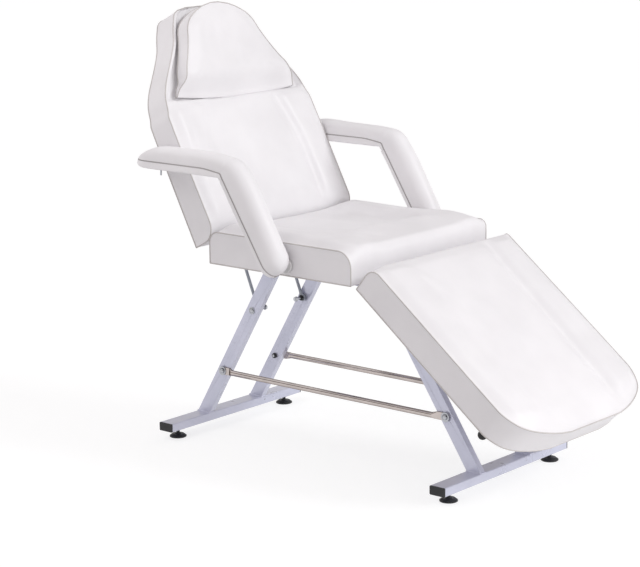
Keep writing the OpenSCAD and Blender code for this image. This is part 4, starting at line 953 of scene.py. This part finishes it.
class Arm:
    """Stations along the top line of an arm's board, from its tip to the foot of its post."""

    def __init__(self, side):
        board_low, board_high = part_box(side + "_arm_board")
        self.mid = (board_low.y + board_high.y) / 2
        self.half = (board_high.y - board_low.y) / 2
        top_z = board_high.z
        tip_x = board_low.x + TIP_IN
        down = Vector((math.cos(ARM_SLOPE), 0, -math.sin(ARM_SLOPE)))
        out = Vector((math.sin(ARM_SLOPE), 0, math.cos(ARM_SLOPE)))
        foot_run = (top_z - ARM_OUTER_R - board_low.z + out.z * ARM_INNER_R) / math.sin(ARM_SLOPE)
        centre = Vector((board_high.x - out.x * ARM_OUTER_R - foot_run * down.x, self.mid,
                         top_z - ARM_OUTER_R))
        bend = ARM_OUTER_R * ARM_SLOPE
        self.sunk = LEFT_CROWN_SUNK if side == "left" else 0.0
        self.bend, self.down, self.foot_run = bend, down, foot_run
        inner = centre + out * (ARM_OUTER_R - ARM_BOARD - POST_EXTRA[0])
        self.corner = inner + down * ((inner.z - top_z + ARM_BOARD) / math.sin(ARM_SLOPE))
        self.flat = centre.x - tip_x
        whole = self.flat + bend + foot_run
        self.stations = []
        for d in self.ease(self.flat, TIP_ROUND):
            self.add(Vector((tip_x + d, self.mid, top_z)), Vector((0, 0, 1)), d, whole)
        for i in range(1, BEND_STEPS + 1):
            a = ARM_SLOPE * i / BEND_STEPS
            n = Vector((math.sin(a), 0, math.cos(a)))
            self.add(centre + n * ARM_OUTER_R, n, self.flat + bend * i / BEND_STEPS, whole)
        self.post_first = len(self.stations) - POST_PIPING_BACK
        for d in self.ease(foot_run, self.half)[::-1][1:]:
            place = centre + out * ARM_OUTER_R + down * (foot_run - d)
            self.add(place, out, whole - d, whole)

    def add(self, place, normal, from_tip, whole):
        self.stations.append(Station(self, place, normal, from_tip, whole - from_tip))

    def ease(self, run, reach):
        """Distances from a rounded tip, close together where it curves."""
        tips = [reach * (1 - math.cos(math.radians(a))) for a in range(4, 90, 6)]
        count = int((run - reach) / ARM_STEP)
        return [0.0] + tips + [reach + (run - reach) * i / count for i in range(count + 1)]


def loft(name, rings):
    """A closed form through rings of points."""
    obj = new_object(name, [p for ring in rings for p in ring], ring_faces(len(rings), len(rings[0])))
    weld(obj)
    return obj


def arm_pad(arm, name):
    rings = []
    for station in arm.stations:
        p = station.place
        ring = []
        for a in range(0, 181, 6):
            swell = CROWN_UNEVEN * noise.noise(Vector((p.x * 14, a * 0.02, p.z * 14 + arm.mid * 9)))
            high = station.crown + station.drop + swell * min(1.0, station.crown / ARM_CROWN)
            out = high * math.sin(math.radians(a)) ** CROWN_SQUARE - station.drop
            ring.append(station.point(out, station.half * math.cos(math.radians(a))))
        rings.append(ring)
    return loft(name, rings)


def arm_board(arm, name):
    """The board in its cover: rounded lower edges and long creases in the leather."""
    rings = []
    for i, station in enumerate(arm.stations):
        half, low = station.half, -station.thick
        turn = min(BOARD_TURN, half * BOARD_TURN_SHARE, (station.thick - station.drop) * BOARD_TURN_SHARE)
        outline = [(half, -station.drop), (half, (-station.drop + low + turn) / 2), (half, low + turn)]
        outline += [(half - turn * (1 - math.cos(math.radians(a))),
                     low + turn - turn * math.sin(math.radians(a))) for a in (22, 45, 68, 90)]
        outline += [(-y, z) for y, z in outline[::-1]]
        ring = []
        for y, z in outline:
            crease = 0.0
            if low < z < -station.drop:
                crease = BOARD_CREASE * noise.noise(
                    Vector((i * 0.07, z * 300, math.copysign(3, y) + arm.mid)))
            wrap = BOARD_WRAP * (station.drop + z) / (station.thick - station.drop)
            ring.append(station.point(z, y + math.copysign(crease - BOARD_GAP + min(0.0, wrap), y)))
        rings.append(ring)
    return loft(name, rings)


def arm_seam(stations, sign, level):
    """Line along one side of an arm: level 0 is the seam under its pad, 1 its lower edge."""
    return [s.point(-s.drop - (s.thick - s.drop - SEAM_LIFT) * level, sign * s.half) for s in stations]


for side in ("left", "right"):
    arm = Arm(side)
    body = side + "_arm"
    pad_piece = arm_pad(arm, side + "_armrest_pad")
    shade_smooth(pad_piece, 60)
    dress(pad_piece, body, WHITE, [side + "_arm_pad"])
    board_piece = arm_board(arm, side + "_armrest_board_cover")
    shade_smooth(board_piece, 50)
    dress(board_piece, body, WHITE, [side + "_arm_board"])
    post = arm.stations[arm.post_first:]
    # The arm's main seam takes the darker painted-shade piping, and its post seams take the lighter one.
    for label, stations, level, closed, material in (
            ("_armrest_piping", arm.stations, 0.0, True, ARM_SHADED_PIPING),
            ("_armrest_post_piping", post, 1.0, False, SHADED_PIPING)):
        loop = arm_seam(stations, 1, level) + arm_seam(stations, -1, level)[::-1]
        piece = tube(side + label, thin(loop, ARM_PIPE_STEP), PIPE_R, closed=closed)
        dress(piece, body, material)

# Welds round the foot of each slanted leg
WELD_R = 2.6 * MM
WELD_LIFT = 0.6 * MM
WELD_STEPS = 10
WELD_FOOT = 0.4 * MM
rail_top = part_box("rear_rail")[1].z


def weld_ripple(i):
    return 1 + 0.22 * math.sin(i * 2.1) + 0.1 * math.sin(i * 0.9)


for name in ("left_rear_leg", "right_rear_leg", "left_front_leg", "right_front_leg"):
    foot = [v.co for v in nodes[name].data.vertices if v.co.z < rail_top + WELD_FOOT]
    x0, x1 = min(p.x for p in foot), max(p.x for p in foot)
    y0, y1 = min(p.y for p in foot), max(p.y for p in foot)
    corners = [Vector((x, y, rail_top + WELD_LIFT)) for x, y in ((x0, y0), (x1, y0), (x1, y1), (x0, y1))]
    path = [a.lerp(b, k / WELD_STEPS) for a, b in zip(corners, corners[1:] + corners[:1])
            for k in range(WELD_STEPS)]
    dress(tube(name + "_weld", path, WELD_R, closed=True, ripple=weld_ripple), "base", PAINT)


def turned(name, x, z, y_from, y_to, radius, sides=28):
    """A round or hexagonal zinc-plated piece across the chair."""
    piece = tube(name, [(x, y_from, z), (x, y_to, z)], radius, sides=sides)
    shade_smooth(piece, 40)
    dress(piece, "base", ZINC)


# Washers under the heads of the strut bolts, and the bolts' threaded tails with their nuts:
# name, from and to outwards from the leg's outer face, radius (all in mm), sides
STRUT_BOLT_PIECES = (("washer", 0.1, 1.7, 10.5, 28), ("tail", -61, -36.5, 4.0, 28),
                     ("tail_nut", -60, -53, 7.5, 6))
strut_bolt = hinge_point("left_strut_swing")
leg_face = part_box("left_rear_leg")[1].y
for side, label in SIDES:
    for piece, near, far, radius, sides in STRUT_BOLT_PIECES:
        turned(label + "_strut_bolt_" + piece, strut_bolt.x, strut_bolt.z, side * (leg_face + near * MM),
               side * (leg_face + far * MM), radius * MM, sides)

# Wide washers over the foot rods' flattened ends, round the CAD's own
CAD_WASHER_R = 10 * MM
WIDE_WASHER_R = 13.5 * MM
WIDE_WASHER_IN = 1.4 * MM
WIDE_WASHER_OUT = 0.4 * MM
WIDE_WASHER_SIDES = 32
low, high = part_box("rod_washers")
for x, end in ((low.x + CAD_WASHER_R, "rear"), (high.x - CAD_WASHER_R, "front")):
    for side, label in SIDES:
        turned(label + "_" + end + "_wide_washer", x, (low.z + high.z) / 2,
               side * (high.y - WIDE_WASHER_IN), side * (high.y + WIDE_WASHER_OUT), WIDE_WASHER_R,
               WIDE_WASHER_SIDES)

# Soft highlights on the edges of the frame's tubes and fasteners
EDGE_R = 0.5 * MM
EDGE_ANGLE = math.radians(38)
EDGE_WELD = 0.01 * MM
for part in frame["record"]["subparts"]:
    if part["material_slot"] in ("upholstery", "plywood"):
        continue
    modifiers = nodes[part["node"]].modifiers
    modifiers.new("Weld", "WELD").merge_threshold = EDGE_WELD
    bevel = modifiers.new("Edge", "BEVEL")
    bevel.width = EDGE_R
    bevel.segments = 2
    bevel.limit_method = "ANGLE"
    bevel.angle_limit = EDGE_ANGLE
    modifiers.new("Even", "WEIGHTED_NORMAL").weight = 60

# Floor, light and camera
FLOOR_SIZE = 14.0
FLOOR_SEEN = 0.36
FLOOR_GLOW = 0.72
FLOOR_BOUNCE = 0.78
FLOOR_GAP = 0.2 * MM
AMBIENT = 0.62
AMBIENT_TINT = (1.0, 0.955, 0.965, 1)
WHITE_WALL = (1, 1, 1, 1)
DARK_WALL = (0.16, 0.12, 0.10, 1)
WHITE_BELOW_AND_ABOVE = (0.24, 0.60)
DARK_BAND = (0.30, 0.48)
SUN_STRENGTH = 1.17
SUN_TINT = (0.97, 1.0, 1.01)
SUN_FROM = Vector((0.80, 0.30, 0.52))
SUN_SOFTNESS = math.radians(20)
SOFTBOX_SIZE = (1.2, 1.4)
SOFTBOXES = (("side_softbox", 6.0, Vector((-1.0, -1.0, 1.9)), Vector((-0.65, -0.3, 1.1))),
             ("front_softbox", 10.0, Vector((2.1, -0.2, 0.35)), Vector((0.0, 0.0, 0.7))))
scene = bpy.context.scene


def seen_directly(tree):
    """1 for rays that show the background: from the camera, a mirror or through glass."""
    path = add(tree, "ShaderNodeLightPath")
    seen = path.outputs["Is Camera Ray"]
    for ray in ("Is Transmission Ray", "Is Glossy Ray"):
        either = add(tree, "ShaderNodeMath", operation="MAXIMUM")
        tree.links.new(seen, either.inputs[0])
        tree.links.new(path.outputs[ray], either.inputs[1])
        seen = either.outputs[0]
    return seen


def when_seen(tree, otherwise, seen):
    """One value for rays that show the background and another for the rest."""
    return add(tree, "ShaderNodeMapRange", Value=seen_directly(tree), To_Min=otherwise,
               To_Max=seen).outputs["Result"]


def blended(tree, share, colour, source):
    """A fixed colour where share is 0 and a source's where it is 1."""
    mix = add(tree, "ShaderNodeMix", data_type="RGBA")
    mix.inputs[6].default_value = colour
    tree.links.new(share, mix.inputs[0])
    tree.links.new(source, mix.inputs[7])
    return mix.outputs[2]


corners = [(x * FLOOR_SIZE, y * FLOOR_SIZE, 0) for x, y in ((-1, -1), (1, -1), (1, 1), (-1, 1))]
floor = new_object("studio_floor", corners, [(0, 1, 2, 3)])
floor.location.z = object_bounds()[0][2] - FLOOR_GAP
floor_material, tree, principled = shader("pale_floor", Roughness=0.9, Specular_IOR_Level=0.0,
                                          Emission_Color=(1, 1, 1, 1))
feed(principled, Base_Color=when_seen(tree, FLOOR_BOUNCE, FLOOR_SEEN),
     Emission_Strength=when_seen(tree, 0.0, FLOOR_GLOW))
floor.data.materials.append(floor_material)

# Around it, a white room; metal also mirrors a dark band at eye level
world = bpy.data.worlds.new("studio")
scene.world = world
world.use_nodes = True
tree = world.node_tree
all_round = add(tree, "ShaderNodeTexCoord").outputs["Generated"]
direction = add(tree, "ShaderNodeSeparateXYZ", Vector=all_round)
walls = add(tree, "ShaderNodeValToRGB", Fac=direction.outputs["Z"])
elements = walls.color_ramp.elements
for element, height in zip(elements, WHITE_BELOW_AND_ABOVE):
    element.position, element.color = height, WHITE_WALL
for height in DARK_BAND:
    elements.new(height).color = DARK_WALL
glossy = add(tree, "ShaderNodeLightPath").outputs["Is Glossy Ray"]
seen = blended(tree, glossy, WHITE_WALL, walls.outputs["Color"])
feed(tree.nodes["Background"], Strength=when_seen(tree, AMBIENT, 1.0),
     Color=blended(tree, seen_directly(tree), AMBIENT_TINT, seen))


def aimed_light(name, kind, power, direction):
    """A light that shines along a direction."""
    light = bpy.data.lights.new(name, kind)
    light.energy = power
    light_object = bpy.data.objects.new(name, light)
    scene.collection.objects.link(light_object)
    light_object.rotation_euler = direction.to_track_quat("-Z", "Y").to_euler()
    return light, light_object


sun, _ = aimed_light("key_light", "SUN", SUN_STRENGTH, -SUN_FROM)
sun.color = SUN_TINT
sun.angle = SUN_SOFTNESS
for name, power, at, to in SOFTBOXES:
    softbox, softbox_object = aimed_light(name, "AREA", power, to - at)
    softbox.shape = "RECTANGLE"
    softbox.size, softbox.size_y = SOFTBOX_SIZE
    softbox_object.location = at
    softbox_object.visible_camera = softbox_object.visible_glossy = False

AZIMUTH = math.radians(40.2)
ELEVATION = math.radians(12.163)
ROLL = math.radians(-0.573)
CAMERA_DISTANCE = 6181.2 * MM
CAMERA_TARGET = Vector((-219.8 * MM, 0, 464.6 * MM))
LENS_MM = 121.02
SENSOR_MM = 36
back_axis = Vector((math.sin(AZIMUTH) * math.cos(ELEVATION), -math.cos(AZIMUTH) * math.cos(ELEVATION),
                    math.sin(ELEVATION)))
right_axis = Vector((math.cos(AZIMUTH), math.sin(AZIMUTH), 0))
up_axis = back_axis.cross(right_axis)
right_rolled = right_axis * math.cos(ROLL) + up_axis * math.sin(ROLL)
up_rolled = up_axis * math.cos(ROLL) - right_axis * math.sin(ROLL)
camera_data = bpy.data.cameras.new("camera")
camera_data.sensor_width = SENSOR_MM
camera_data.lens = LENS_MM
camera = bpy.data.objects.new("camera", camera_data)
scene.collection.objects.link(camera)
turn = Matrix((right_rolled, up_rolled, back_axis)).transposed().to_4x4()
camera.matrix_world = Matrix.Translation(CAMERA_TARGET + back_axis * CAMERA_DISTANCE) @ turn
scene.camera = camera
scene.view_settings.view_transform = "Standard"
